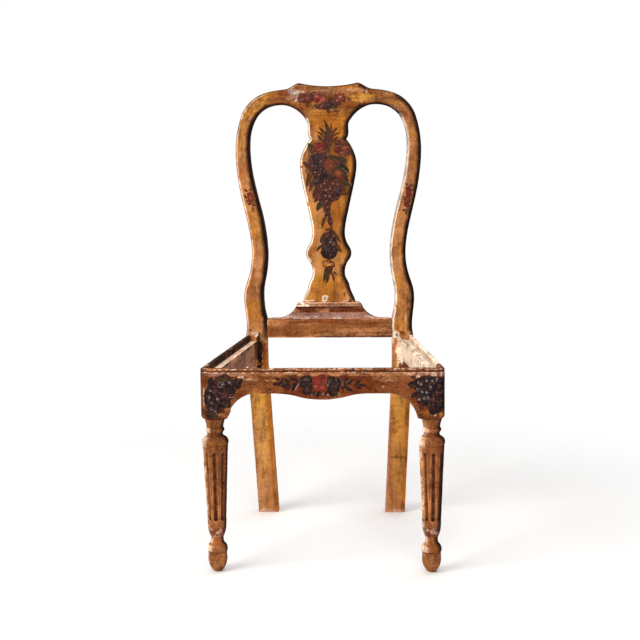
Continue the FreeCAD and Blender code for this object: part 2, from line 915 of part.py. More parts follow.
splat_foot_half = size("splat_width") / 2 * splat_foot_shares[-1][1]
shoe_top_half = splat_foot_half + size("shoe_margin")
shoe_plate_half = shoe_top_half + size("shoe_overhang")
shoe_base_half = post_inner - size("shoe_end_gap")
shoe_base_top = rear_rail_top + size("shoe_edge")
shoe_plate_low = shoe_top - size("shoe_plate_height")
splat_tenon_y = (post_front + size("splat_foot_setback")
                 + (size("splat_thickness") - tenon) / 2)
splat_tenon_half = splat_foot_half - size("splat_tenon_shoulder")


def shoe(name):
    """The shoe, with a cove along its front, coved ends and a mortise for the splat."""
    body = new_body(name)
    tail_x = between(shoe_base_half, shoe_plate_half, shoe_tail_share)
    sweep_x, sweep_z = level_start_bend(tail_x - shoe_plate_half, shoe_plate_low - shoe_base_top)
    bend_x = tail_x - sweep_x
    bend_z = shoe_base_top + sweep_z
    edge_x = between(shoe_top_half, shoe_plate_half, shoe_edge_shares[0])
    edge_z = between(shoe_plate_low, shoe_top, shoe_edge_shares[1])
    front = [
        (-shoe_base_half, rear_rail_top),
        (shoe_base_half, rear_rail_top),
        (shoe_base_half, shoe_base_top),
        (tail_x, shoe_base_top),
        (shoe_plate_half, shoe_plate_low, bend_x, bend_z),
        (shoe_top_half, shoe_top, edge_x, edge_z),
        (-shoe_top_half, shoe_top),
        (-shoe_plate_half, shoe_plate_low, -edge_x, edge_z),
        (-tail_x, shoe_base_top, -bend_x, bend_z),
        (-shoe_base_half, shoe_base_top),
    ]
    sketch = outline(body, "shoe_front", "XZ_Plane", front, -post_front)
    pad(body, "shoe", sketch, size("rear_rail_depth"), backwards=True)
    cove = post_front + size("shoe_cove")
    plate = post_front + size("shoe_plate_setback")
    plate_low = shoe_plate_low + size("shoe_edge")
    plate_round = size("shoe_plate_height") * plate_round_share
    bend = plate_round * (1 - math.sqrt(1 / 2))
    section = [
        (post_front - overrun, shoe_base_top),
        (post_front, shoe_base_top),
        (cove, shoe_plate_low, between(post_front, cove, shoe_cove_shares[0]),
         between(shoe_base_top, shoe_plate_low, shoe_cove_shares[1])),
        (plate, plate_low),
        (plate, shoe_top - plate_round),
        (plate + plate_round, shoe_top, plate + bend, shoe_top - bend),
        (plate + plate_round, shoe_top + overrun),
        (post_front - overrun, shoe_top + overrun),
    ]
    reach = shoe_base_half + overrun
    sketch = outline(body, "cove_section", "YZ_Plane", section, reach)
    pocket(body, "cove", sketch, reach * 2)
    mortise = rectangle(-splat_tenon_half - clearance, splat_tenon_y - clearance,
                        splat_tenon_half + clearance, splat_tenon_y + tenon + clearance)
    sketch = outline(body, "splat_mortise_plan", "XY_Plane", mortise, shoe_top)
    pocket(body, "splat_mortise", sketch, size("splat_tenon_height") + end_gap)
    return body


# The back: posts, crest rail and splat are sawn twice, to a front view and to a leaning side view


def point_at(x, y, z):
    """A point in space from three sizes or numbers."""
    return Vector(*(value.value if isinstance(value, Size) else value for value in (x, y, z)))


def shaped_prism(edges, direction):
    """A closed outline swept along a direction."""
    return Part.Face(Part.Wire(Part.__sortEdges__(edges))).extrude(direction)


def spline(points):
    """A smooth curve through points."""
    curve = Part.BSplineCurve()
    curve.interpolate(points)
    return curve.toShape()


def line(start, end):
    """A straight edge."""
    return Part.LineSegment(start, end).toShape()


def arc(start, middle, end):
    """A round edge through three points."""
    return Part.Arc(start, middle, end).toShape()


def lean(height, total):
    """Backward lean at a height of a round line that leaves the rear rail's top upright."""
    rise = (chair_top - rear_rail_top).value
    radius = (total ** 2 + rise ** 2) / (2 * total)
    return radius - math.sqrt(radius ** 2 - (height - rear_rail_top.value) ** 2)


def front_at(height):
    """Depth of the back's front face at a height."""
    return post_front.value + lean(height, size("back_lean").value)


def back_at(height):
    """Depth of the back's rear face at a height."""
    total = size("back_lean") + size("post_top_depth") - size("post_depth")
    return post_front.value + size("post_depth").value + lean(height, total.value)


def curve_between(low, high, depth_at):
    """A leaning round line between two heights in the middle plane."""
    middle = (low + high) / 2
    return arc(*(Vector(0, depth_at(height), height) for height in (low, middle, high)))


def leaning_slab(left, right, low, high, front, back):
    """A block between two heights whose front and back follow two leaning lines."""
    edges = [
        curve_between(low, high, front),
        curve_between(low, high, back),
        line(Vector(0, front(low), low), Vector(0, back(low), low)),
        line(Vector(0, front(high), high), Vector(0, back(high), high)),
    ]
    slab = shaped_prism(edges, Vector(right - left, 0, 0))
    slab.translate(Vector(left, 0, 0))
    return slab


def plan_block(plan, low, high):
    """An upright block on a plan of sizes."""
    corners = [point_at(x, y, low) for x, y in plan]
    wire = Part.makePolygon(corners + corners[:1])
    return Part.Face(wire).extrude(Vector(0, 0, (high - low).value))


def only_solid(shape):
    """The one solid that a piece is made of."""
    if len(shape.Solids) != 1:
        raise RuntimeError(f"{len(shape.Solids)} solids where there is one piece of wood")
    return shape.Solids[0]


def lies_level(edge):
    """Whether an edge runs level, as the cut ends and the crease at the rear rail do."""
    heights = [vertex.Z for vertex in edge.Vertexes]
    heights.append(edge.valueAt((edge.FirstParameter + edge.LastParameter) / 2).z)
    return near(max(heights), min(heights))


def rounded(shape, test, radius, wall):
    """A shape with the edges that pass a test rounded, by no more than the wall allows."""
    edges = [shape.Edges[int(name[len("Edge"):]) - 1] for name in edges_where(shape, test)]
    edges = [edge for edge in edges if not lies_level(edge)]
    return only_solid(shape.makeFillet(min(radius.value, wall.value * wall_round_share), edges))


def add_piece(name, shape):
    """A finished shape as a sub-part of the chair."""
    piece = doc.addObject("Part::Feature", name)
    piece.Label = name
    piece.Shape = shape
    place(piece)
    return piece


# Places on the stiles, worked out once for posts, crest rail and pegs
rise = size("back_rise").value
joint_outer = (half_back * stile_joint_outer_share).value
joint_inner = joint_outer - (size("stile_width") * stile_joint_width_share).value
tenon_middle = (joint_outer + joint_inner) / 2 - size("crest_tenon_shift").value
crest_peg_z = crest_joint + size("crest_tenon_height") / 2


def stile_tenon(grow, top_gap):
    """Tenon on top of the right stile, or its mortise when grown."""
    half = size("crest_tenon_width").value / 2 + grow
    low = crest_joint.value
    high = low + size("crest_tenon_height").value + top_gap
    setback = (back_at(low) - front_at(low) - tenon.value) / 2 - grow
    thickness = tenon.value + 2 * grow
    return leaning_slab(tenon_middle - half, tenon_middle + half, low, high,
                        lambda height: front_at(height) + setback,
                        lambda height: front_at(height) + setback + thickness)


def crest_peg(radius):
    """Cylinder of the right crest peg, or its hole when wider."""
    height = crest_peg_z.value
    start = front_at(height) + size("peg_wall").value
    length = back_at(height) - start
    return Part.makeCylinder(radius, length, Vector(tenon_middle, start, height), Vector(0, 1, 0))


def post_outline():
    """Front view of the right post as edges in the plane of the front face."""
    foot = size("rear_foot_width") / 2
    outer = [point_at(half_rear, 0, seat_top)]
    inner = []
    for (height_share, half_share), width_share in zip(stile_outer_shares, stile_width_shares):
        height = seat_top.value + rise * height_share
        outer_x = half_back.value * half_share
        outer.append(Vector(outer_x, 0, height))
        inner.append(Vector(outer_x - size("stile_width").value * width_share, 0, height))
    outer.append(point_at(joint_outer, 0, crest_joint))
    inner.append(point_at(joint_inner, 0, crest_joint))
    inner.insert(0, point_at(post_inner, 0, rear_rail_top))
    heel = point_at(foot - size("post_foot_width"), 0, 0)
    knee = point_at(post_inner, 0, post_flat_low)
    return [
        line(point_at(foot, 0, 0), outer[0]),
        spline(outer),
        line(outer[-1], inner[-1]),
        spline(inner),
        line(inner[0], knee),
        line(knee, heel),
        line(heel, point_at(foot, 0, 0)),
    ]


def post_side():
    """Side view of a post: raked leg, upright stretch at the seat and leaning stile."""
    foot_front = post_front.value + size("rear_rake").value
    foot_back = foot_front + size("post_foot_depth").value
    front = post_front.value
    back = front + size("post_depth").value
    low = post_flat_low.value
    turn = rear_rail_top.value
    top = crest_joint.value
    corners = [
        Vector(0, front, turn), Vector(0, front, low), Vector(0, foot_front, 0),
        Vector(0, foot_back, 0), Vector(0, back, low), Vector(0, back, turn),
    ]
    edges = [line(start, end) for start, end in zip(corners, corners[1:])]
    edges.append(curve_between(turn, top, back_at))
    edges.append(line(Vector(0, back_at(top), top), Vector(0, front_at(top), top)))
    edges.append(curve_between(turn, top, front_at))
    return edges


def rear_post(name, side):
    """One rear post with its mortises, peg holes and the tenon that carries the crest rail."""
    reach = (post_front + size("back_lean") + size("rear_rake") + size("post_depth")).value * 2
    front_view = shaped_prism(post_outline(), Vector(0, reach, 0))
    side_view = shaped_prism(post_side(), Vector(reach, 0, 0))
    post = only_solid(front_view.common(side_view))
    top_depth = size("post_top_depth")

    def on_stile_front(point):
        if point.z > rear_rail_top.value:
            return near(point.y, front_at(point.z))
        return point.z > seat_top.value - clearance.value and near(point.y, post_front.value)

    def on_stile_back(point):
        return point.z > rear_rail_top.value - clearance.value and near(point.y, back_at(point.z))

    post = rounded(post, on_stile_front, size("stile_round"), top_depth)
    post = rounded(post, on_stile_back, size("back_round"), top_depth)
    post = post.fuse(stile_tenon(0, 0))
    side_mortise = side_tenon_plan(post_front - overrun, post_front + tenon_length + end_gap,
                                   clearance)
    rear_mortise = rectangle(post_inner - overrun, rear_tenon_y - clearance,
                             post_inner + tenon_length + end_gap, rear_tenon_y + tenon + clearance)
    cuts = [
        plan_block(side_mortise, side_tenon_low - clearance, side_tenon_high + clearance),
        plan_block(rear_mortise, rear_tenon_low - clearance, rear_tenon_high + clearance),
        crest_peg(peg_hole.value),
    ]
    for height in (rear_peg_low, rear_peg_high):
        start = point_at(rear_peg_x, post_front + size("peg_wall"), height)
        cuts.append(Part.makeCylinder(peg_hole.value, reach, start, Vector(0, 1, 0)))
    start = point_at(post_inner - overrun, side_peg_rear_y, side_peg_z)
    length = (side_peg_length + overrun).value
    cuts.append(Part.makeCylinder(peg_hole.value, length, start, Vector(1, 0, 0)))
    post = only_solid(post.cut(cuts))
    if side < 0:
        post = post.mirror(Vector(0, 0, 0), Vector(1, 0, 0))
    return add_piece(name, post)


def crest_rail(name):
    """The crest rail: two shoulders, two ears with a dip between them and a neck for the splat."""
    drop = size("crest_drop").value
    top = chair_top.value
    ear = point_at(size("crest_ear_span") / 2, 0, chair_top)
    neck = point_at(half_back * crest_neck_share, 0, crest_neck)
    joint_out = point_at(joint_outer, 0, crest_joint)
    joint_in = point_at(joint_inner, 0, crest_joint)

    def crest_points(shares):
        return [Vector(half_back.value * x_share, 0, top - drop * z_share)
                for x_share, z_share in shares]

    half = [
        spline([joint_out] + crest_points(crest_top_shares) + [ear]),
        line(joint_out, joint_in),
        spline([joint_in] + crest_points(crest_under_shares) + [neck]),
    ]
    edges = half + [edge.mirror(Vector(0, 0, 0), Vector(1, 0, 0)) for edge in half]
    dip = Vector(0, 0, top - size("crest_dip").value)
    edges.append(arc(Vector(-ear.x, 0, ear.z), dip, ear))
    edges.append(line(Vector(-neck.x, 0, neck.z), neck))
    reach = (post_front + size("back_lean") + size("post_depth")).value * 2
    front_view = shaped_prism(edges, Vector(0, reach, 0))
    side_view = leaning_slab(-joint_outer - overrun.value, joint_outer + overrun.value,
                             crest_neck.value - overrun.value, top + overrun.value,
                             front_at, back_at)
    crest = only_solid(front_view.common(side_view))
    crest = rounded(crest, lambda point: near(point.y, front_at(point.z)), size("stile_round"),
                    size("post_top_depth"))
    crest = rounded(crest, lambda point: near(point.y, back_at(point.z)), size("back_round"),
                    size("post_top_depth"))
    cuts = []
    for tool in (stile_tenon(clearance.value, end_gap.value), crest_peg(peg_hole.value)):
        cuts.append(tool)
        cuts.append(tool.mirror(Vector(0, 0, 0), Vector(1, 0, 0)))
    cuts.append(splat_head_tenon(clearance.value, end_gap.value))
    return add_piece(name, only_solid(crest.cut(cuts)))


def splat_front_at(height):
    """Depth of the splat's front at a height, drawn in from the back's front face."""
    share = (height - shoe_top.value) / (crest_neck - shoe_top).value
    foot = size("splat_foot_setback").value
    head = size("splat_head_setback").value
    return front_at(height) + foot + (head - foot) * share


def splat_slab(half, low, high, shoulder, grow):
    """A stretch of the splat's thickness, thinner by a shoulder on both faces."""
    thickness = size("splat_thickness").value
    return leaning_slab(-half - grow, half + grow, low, high,
                        lambda height: splat_front_at(height) + shoulder - grow,
                        lambda height: splat_front_at(height) + thickness - shoulder + grow)


def splat_head_tenon(grow, top_gap):
    """Tenon on the splat's head, or its mortise in the crest rail when grown."""
    half = (size("splat_width") / 2 * splat_neck_shares[0][1]
            - size("splat_tenon_shoulder")).value
    shoulder = ((size("splat_thickness") - tenon) / 2).value
    low = crest_neck.value
    return splat_slab(half, low, low + size("splat_tenon_height").value + top_gap, shoulder, grow)


def splat(name):
    """The vase-shaped splat with a tenon at its head and foot."""
    foot = shoe_top.value
    height = (crest_neck - shoe_top).value
    half_width = size("splat_width").value / 2

    def splat_points(shares):
        return [Vector(half_width * x_share, 0, foot + height * z_share) for z_share, x_share in shares]

    step = splat_points((splat_vase_shares[-1], splat_foot_shares[0]))
    half = [
        spline(splat_points(splat_neck_shares)),
        spline(splat_points(splat_vase_shares)),
        line(*step),
        spline(splat_points(splat_foot_shares)),
    ]
    edges = half + [edge.mirror(Vector(0, 0, 0), Vector(1, 0, 0)) for edge in half]
    head_right = splat_points(splat_neck_shares[:1])[0]
    foot_right = splat_points(splat_foot_shares[-1:])[0]
    for corner in (head_right, foot_right):
        edges.append(line(corner, Vector(-corner.x, 0, corner.z)))
    reach = (post_front + size("back_lean") + size("post_depth")).value * 2
    front_view = shaped_prism(edges, Vector(0, reach, 0))
    slab = splat_slab(half_width + overrun.value, foot, foot + height, 0, 0)
    blade = rounded(only_solid(front_view.common(slab)),
                    lambda point: near(point.y, splat_front_at(point.z)), size("splat_round"),
                    size("splat_thickness"))
    foot_tenon = plan_block(
        rectangle(-splat_tenon_half, splat_tenon_y, splat_tenon_half, splat_tenon_y + tenon),
        shoe_top - size("splat_tenon_height"), shoe_top)
    return add_piece(name, only_solid(blade.fuse([foot_tenon, splat_head_tenon(0, 0)])))


# Pegs, grouped by the joint that they lock


def peg_group(name, pegs):
    """Equal pegs as one group. A peg is its start, its length and the axis that it runs along."""
    turns = {
        "x": FreeCAD.Rotation(Vector(0, 1, 0), 90),
        "y": FreeCAD.Rotation(Vector(1, 0, 0), -90),
    }
    cylinders = []
    for start, length, axis in pegs:
        peg = doc.addObject("Part::Cylinder", "peg")
        peg.setExpression("Radius", peg_radius.formula)
        peg.setExpression("Height", length.formula)
        peg.Placement = FreeCAD.Placement(Vector(0, 0, 0), turns[axis])
        for letter, value in zip("xyz", start):
            peg.setExpression(f"Placement.Base.{letter}", value.formula)
        cylinders.append(peg)
    group = doc.addObject("Part::Compound", name)
    group.Label = name
    group.Links = cylinders
    place(group)
    return group


def build_pegs():
    """Every group of pegs."""
    front_start = size("block_depth") - front_peg_length
    front = [((front_peg_x * side, front_start, front_peg_z), front_peg_length, "y")
             for side in (-1, 1)]
    rear_start = post_front + size("peg_wall")
    rear = [((rear_peg_x * side, rear_start, height), rear_peg_length, "y")
            for side in (-1, 1) for height in (rear_peg_low, rear_peg_high)]
    sides = []
    for x, y in ((block_inner, side_peg_front_y), (post_inner, side_peg_rear_y)):
        sides.append(((x, y, side_peg_z), side_peg_length, "x"))
        sides.append(((-x - side_peg_length, y, side_peg_z), side_peg_length, "x"))
    right_peg = crest_peg(peg_radius.value)
    left_peg = right_peg.mirror(Vector(0, 0, 0), Vector(1, 0, 0))
    return [
        peg_group("front_rail_pegs", front),
        peg_group("rear_rail_pegs", rear),
        peg_group("side_rail_pegs", sides),
        add_piece("crest_rail_pegs", Part.makeCompound([right_peg, left_peg])),
    ]


def build_chair():
    """Every sub-part of the chair."""
    pieces = [front_rail("front_rail"), rear_rail("rear_rail"), shoe("splat_shoe")]
    for word, side in (("left", -1), ("right", 1)):
        pieces.append(front_leg(f"front_leg_{word}", side, size(f"flute_turn_{word}")))
        pieces.append(front_bracket(f"front_bracket_{word}", side))
        pieces.append(side_rail(f"side_rail_{word}", side))
        pieces.append(rear_post(f"rear_post_{word}", side))
    pieces.append(crest_rail("crest_rail"))
    pieces.append(splat("back_splat"))
    pieces.extend(build_pegs())
    return pieces


def write_parts(pieces):
    """Check each piece and write it to its own file."""
    doc.recompute()
    check_state()
    os.makedirs("parts", exist_ok=True)
    for piece in pieces:
        if piece.Shape.isNull() or not piece.Shape.isValid():
            raise RuntimeError(f"{piece.Label} has no valid shape")
    for piece in pieces:
        box = piece.Shape.BoundBox
        print(f"{piece.Label:20s} solids {len(piece.Shape.Solids)} volume {piece.Shape.Volume:.0f} "
              f"x {box.XMin:.1f} {box.XMax:.1f} y {box.YMin:.1f} {box.YMax:.1f} "
              f"z {box.ZMin:.1f} {box.ZMax:.1f}")
        piece.Shape.exportStep(f"parts/{piece.Label}.step")


write_parts(build_chair())
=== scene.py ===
import math

import bmesh
import bpy
import numpy as np
from mathutils import Matrix, Vector
from mathutils.bvhtree import BVHTree
from mathutils.kdtree import KDTree


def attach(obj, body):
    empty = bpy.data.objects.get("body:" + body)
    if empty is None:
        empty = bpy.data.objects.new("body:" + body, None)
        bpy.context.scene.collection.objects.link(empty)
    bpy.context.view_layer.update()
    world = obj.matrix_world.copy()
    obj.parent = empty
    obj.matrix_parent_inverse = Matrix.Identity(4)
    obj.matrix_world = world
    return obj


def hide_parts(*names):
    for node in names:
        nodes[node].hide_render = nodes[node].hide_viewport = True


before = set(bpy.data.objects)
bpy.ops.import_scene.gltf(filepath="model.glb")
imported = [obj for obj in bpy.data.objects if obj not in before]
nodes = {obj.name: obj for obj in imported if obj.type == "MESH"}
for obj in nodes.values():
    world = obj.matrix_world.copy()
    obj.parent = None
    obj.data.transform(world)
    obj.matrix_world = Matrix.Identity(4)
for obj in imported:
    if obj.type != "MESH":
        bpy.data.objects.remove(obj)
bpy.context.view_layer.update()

# Lengths below are metres, and millimetres only in the tables of painted shapes
MM = 0.001

# Fineness of the carved surfaces in metres, and of the painted sheets in millimetres
BACK_VOXEL = 1.6 * MM
FRONT_VOXEL = 1.25 * MM
RAIL_VOXEL = 1.5 * MM
PAINT_STEP = 0.6

# Places on the chair: half widths of splat and hoop, heights where the back's pieces meet
SPLAT_REACH = 0.07
HOOP_REACH = 0.12
SPLAT_TOP = 0.921
POST_TOP = 0.928
# Side rails, in millimetres and as heights: where they run in, top of the ledge and of the lip
FRONT_HALF = 250.0
REAR_HALF = 192.6
SEAT_DEPTH = 407.0
SEAT_FRONT_Y = -0.2535
LEDGE_Z = 0.4215
# Front legs: their axis, the joint of block and rail, the top of the turning
LEG_X = 0.222
BLOCK_X = 0.1915
TURNING_TOP = 0.3255
FOOT_LINE_Z = 0.0435
# Front rail: the middle of its lip and the edge of the face under it
LIP_Z = 0.4314
FACE_EDGE_Z = 0.4243
# The shoe's plate: its middle height and half of the height between its edges
PLATE_Z = 0.505
PLATE_EDGE = 3.6 * MM
# How the pieces gleam
SPECULAR = 0.06
SIDES = (("left", -1), ("right", 1))


def tint(*screen):
    """A colour given as it looks on screen, 0 to 255."""
    shares = [value / 255 for value in screen]
    return *(s / 12.92 if s <= 0.04045 else ((s + 0.055) / 1.055) ** 2.4 for s in shares), 1.0


# Colours of the painted shapes: rim, middle
tones = {
    "night": (tint(24, 15, 15), tint(46, 32, 32)),
    "grape": (tint(32, 21, 24), tint(74, 53, 58)),
    "sloe": (tint(20, 12, 18), tint(50, 36, 46)),
    "plum": (tint(52, 26, 22), tint(94, 50, 44)),
    "mauve": (tint(62, 30, 28), tint(122, 70, 64)),
    "wine": (tint(78, 26, 18), tint(112, 42, 30)),
    "brick": (tint(96, 32, 22), tint(146, 54, 40)),
    "rose": (tint(126, 50, 38), tint(172, 86, 68)),
    "coral": (tint(90, 42, 24), tint(140, 72, 42)),
    "moss": (tint(40, 30, 18), tint(72, 56, 34)),
    "umber": (tint(58, 32, 18), tint(88, 52, 30)),
    "slate": (tint(84, 76, 76), tint(132, 124, 122)),
    "gold": (tint(150, 98, 46), tint(190, 130, 66)),
    "glow": (tint(128, 78, 62), tint(182, 120, 98)),
    "bone": (tint(126, 104, 88), tint(182, 158, 138)),
}

# Colours of the ground under the ornament
grounds = {
    "ochre": tint(172, 108, 38), "honey": tint(190, 128, 58), "amber": tint(152, 86, 26),
    "salmon": tint(196, 138, 92), "tan": tint(172, 114, 70), "brown": tint(124, 70, 30),
    "rust": tint(110, 50, 22), "soot": tint(66, 36, 18), "black": tint(26, 14, 10),
    "straw": tint(208, 152, 70), "cream": tint(252, 234, 210), "pink": tint(232, 192, 164),
    "chalk": tint(206, 188, 172), "grey": tint(156, 140, 130), "lilac": tint(160, 114, 98),
    "clay": tint(134, 78, 44), "oxblood": tint(88, 36, 18), "bark": tint(104, 68, 42),
}

# Painted shapes in the front view, in millimetres, laid over each other in order. A heading gives
# the kind and the colour of the rows after it. A wash has its strength and border, a leaf its base,
# tip and width, a disc its middle, half sizes and strength, a line its width and points, and a
# bunch its berry radius and border
splat_garland = [
    "wash umber", (0.3, (-48, 866), (-36, 877), (-14, 878), (0, 893), (12, 880), (34, 882),
        (50, 868), (55, 846), (45, 824), (50, 800), (48, 774), (36, 756), (24, 742), (8, 735),
        (4, 704), (-9, 704), (-16, 735), (-31, 742), (-42, 768), (-48, 790), (-54, 824),
        (-46, 842)), (0.85, (-28, 845), (28, 840), (42, 815), (36, 782), (-28, 782), (-36, 815)),
    "wash plum", (0.95, (-9, 892), (0, 900), (7, 895), (10, 884), (8, 866), (3, 846), (-4, 846),
        (-9, 862), (-11, 880)), "leaf moss", (3, 884, -9, 922, 9),
    "leaf umber", (-6, 887, -21, 906, 7), (-8, 880, -28, 897, 5), (5, 880, 30, 893, 5),
    (2, 888, 8, 914, 5), (6, 885, 24, 905, 7), (-9, 873, -25, 889, 8), (8, 871, 23, 885, 7),
    "leaf moss", (-34, 846, -46, 870, 14),
    "wash wine", (0.95, (-34, 866), (-24, 872), (-10, 871), (-5, 861), (-8, 850), (-20, 847),
        (-32, 849), (-37, 858)), "disc brick", (-26, 863, 8, 5, 0.6), (-14, 865, 7, 4, 0.6),
    "disc coral", (-19, 855, 9, 4), "disc wine", (-21, 860, 5, 3), "disc rose", (-15, 858, 5, 2),
    "wash coral", (0.8, (13, 860), (19, 875), (32, 878), (44, 869), (50, 857), (46, 846), (36, 841),
        (23, 842), (13, 850)), "disc plum", (22, 870, 8, 6), "disc wine", (24, 853, 10, 7),
    "disc mauve", (25, 862, 7, 3), "disc umber", (38, 866, 7, 4), "disc rose", (40, 859, 7, 4, 0.7),
    "disc glow", (31, 848, 4, 2, 0.7), "disc plum", (25, 854, 4, 3),
    "leaf plum", (37, 840, 54, 863, 14),
    "line bone", (2.2, (-7, 853), (-18, 849), (-30, 842), (-40, 831)), (1.6, (0, 851), (-4, 841)),
    "wash plum", (0.9, (-43, 840), (-26, 848), (-8, 850), (3, 838), (2, 814), (-6, 798), (-18, 792),
        (-32, 794), (-42, 806), (-46, 822)),
    "bunch grape", (5.0, (-40, 836), (-26, 845), (-8, 846), (0, 834), (-2, 812), (-10, 798),
        (-30, 797), (-41, 812)), "leaf umber", (-37, 811, -58, 828, 11), (-38, 808, -50, 770, 12),
    (-30, 790, -43, 758, 9), "leaf plum", (-24, 770, -35, 743, 9),
    "wash moss", (0.9, (4, 845), (18, 840), (35, 840), (43, 829), (38, 814), (26, 804), (8, 808),
        (1, 824)), "leaf plum", (8, 832, 34, 820, 12), "leaf night", (27, 824, 49, 801, 13),
    (36, 810, 45, 782, 12), "line bone", (1.8, (31, 814), (40, 806), (50, 800)),
    (1.8, (36, 787), (42, 781), (51, 779), (52, 771)), "disc coral", (3, 819, 14, 15, 0.8),
    "disc wine", (-3, 824, 8, 9, 0.6), (10, 810, 8, 6, 0.5), "disc umber", (8, 808, 8, 4, 0.6),
    "disc glow", (6, 818, 3, 2, 0.6), "disc coral", (24, 799, 13, 10, 0.8),
    "disc wine", (30, 794, 7, 5, 0.6), "disc umber", (14, 798, 5, 7, 0.6),
    "disc glow", (26, 801, 3, 2, 0.6), (-30, 804, 2, 2), (-21, 798, 2, 2, 0.8),
    "disc slate", (-36, 820, 2, 2), (-15, 829, 3, 2, 0.7),
    "wash night", (0.9, (-34, 796), (-10, 801), (8, 797), (22, 792), (18, 778), (-6, 776),
        (-30, 776)), "disc wine", (28, 786, 12, 9, 0.8), "disc plum", (20, 784, 9, 7),
    "wash plum", (0.95, (-33, 782), (-12, 788), (8, 786), (36, 782), (38, 764), (30, 756),
        (22, 742), (8, 737), (3, 726), (1, 705), (-8, 705), (-12, 722), (-16, 737), (-28, 742),
        (-28, 762)),
    "bunch plum", (4.6, (-26, 780), (-8, 786), (14, 782), (30, 774), (16, 744), (-4, 738),
        (-18, 744), (-24, 762)), (4.0, (-9, 736), (3, 736), (4, 706), (-8, 708)),
    "disc glow", (-8, 779, 2.2, 2.2), (-16, 773, 1.8, 1.8), (-5, 764, 2.2, 2.2), (4, 767, 2, 2),
    (-6, 751, 2.2, 2.2), (3, 750, 2.2, 2.2), (-4, 739, 2, 2), (21, 776, 1.8, 1.8),
    (-2, 726, 1.6, 1.6), (-7, 713, 1.8, 1.8), "disc rose", (12, 778, 4, 3, 0.6),
    "disc grape", (20, 760, 10, 11), (-24, 784, 10, 8), "leaf moss", (28, 779, 52, 774, 10),
    "leaf umber", (26, 757, 43, 753, 6), "leaf plum", (-20, 753, -32, 736, 11),
    "leaf moss", (-13, 740, -27, 716, 13), "leaf umber", (-4, 706, -15, 678, 9),
    "leaf plum", (2, 706, 7, 678, 13), "leaf umber", (1, 677, -7, 671, 5),
    "disc plum", (5, 671, 5, 8),
    "wash night", (0.92, (-4, 668), (7, 673), (15, 660), (20, 646), (22, 630), (19, 618), (11, 608),
        (2, 605), (-10, 609), (-18, 620), (-16, 640), (-17, 652)),
    "leaf plum", (3, 668, -20, 644, 14), "leaf umber", (8, 674, 28, 644, 8),
    "bunch grape", (4.8, (-8, 654), (10, 656), (17, 642), (18, 622), (8, 612), (-8, 613),
        (-14, 626), (-12, 644)), "leaf umber", (-14, 640, -27, 625, 7), (18, 642, 31, 622, 9),
    "disc glow", (12, 660, 2, 1.5), "disc slate", (5, 646, 3, 3), "disc mauve", (12, 640, 5, 5),
    "disc wine", (-2, 606, 3, 3), (4, 602, 4, 3), "disc glow", (1, 599, 6, 2),
    "line wine", (3.2, (-1, 600), (-8, 603), (-13, 597), (-10, 590), (-4, 593)),
    (3.2, (2, 599), (9, 601), (13, 595), (10, 589), (4, 592)), "disc glow", (-7, 596, 2, 2),
    "disc coral", (8, 595, 2, 2),
    "wash plum", (0.9, (-8, 592), (10, 592), (8, 578), (2, 568), (-8, 568), (-11, 576)),
    "disc grape", (-4, 577, 5, 5), "leaf moss", (-9, 582, -12, 555, 7), (-1, 580, -7, 550, 8),
    "leaf wine", (6, 578, 12, 555, 7), "leaf umber", (10, 580, 19, 570, 5),
]
crest_roses = [
    "wash wine", (0.9, (-70, 970), (-64, 980), (-50, 980), (-43, 982), (-33, 976), (-33, 965),
        (-44, 959), (-57, 959), (-67, 962)), "disc rose", (-47, 973, 5, 8),
    "disc mauve", (-58, 966, 9, 6), "disc plum", (-36, 971, 6, 7),
    "leaf plum", (-40, 978, -68, 976, 7),
    "wash brick", (0.9, (-33, 976), (-20, 980), (-10, 979), (-4, 972), (-6, 962), (-18, 957),
        (-30, 961)), "disc rose", (-25, 974, 7, 5), "disc wine", (-25, 966, 5, 4),
    "disc rose", (-9, 966, 5, 8), "line glow", (3.4, (-12, 973), (-18, 963), (-22, 955)),
    "wash plum", (0.9, (-34, 957), (-22, 957), (-12, 956), (-4, 964), (3, 971), (10, 973),
        (15, 964), (30, 958), (22, 951), (14, 948), (4, 943), (-8, 944), (-22, 946), (-31, 949)),
    "bunch plum", (4.2, (-30, 955), (-14, 955), (-2, 964), (8, 970), (13, 962), (18, 953), (4, 946),
        (-18, 948)), "disc grape", (4, 954, 7, 6), "disc moss", (15, 951, 7, 4),
    "line glow", (2.4, (-10, 956), (-18, 950)),
    "wash brick", (0.85, (16, 964), (16, 975), (24, 981), (36, 980), (41, 972), (38, 962),
        (28, 960)), "disc wine", (18, 972, 5, 7), "disc coral", (28, 971, 8, 7),
    "disc glow", (29, 973, 4, 3), "disc wine", (36, 968, 4, 7), "disc glow", (21, 964, 3, 3),
    "leaf plum", (12, 964, 33, 956, 7), "leaf umber", (44, 971, 53, 965, 5), (-12, 979, -4, 974, 5),
    (-1, 947, 4, 935, 7), (12, 943, 29, 942, 4), (22, 943, 22, 933, 3), "disc bone", (9, 944, 4, 2),
    "leaf umber", (-48, 959, -50, 950, 5),
]
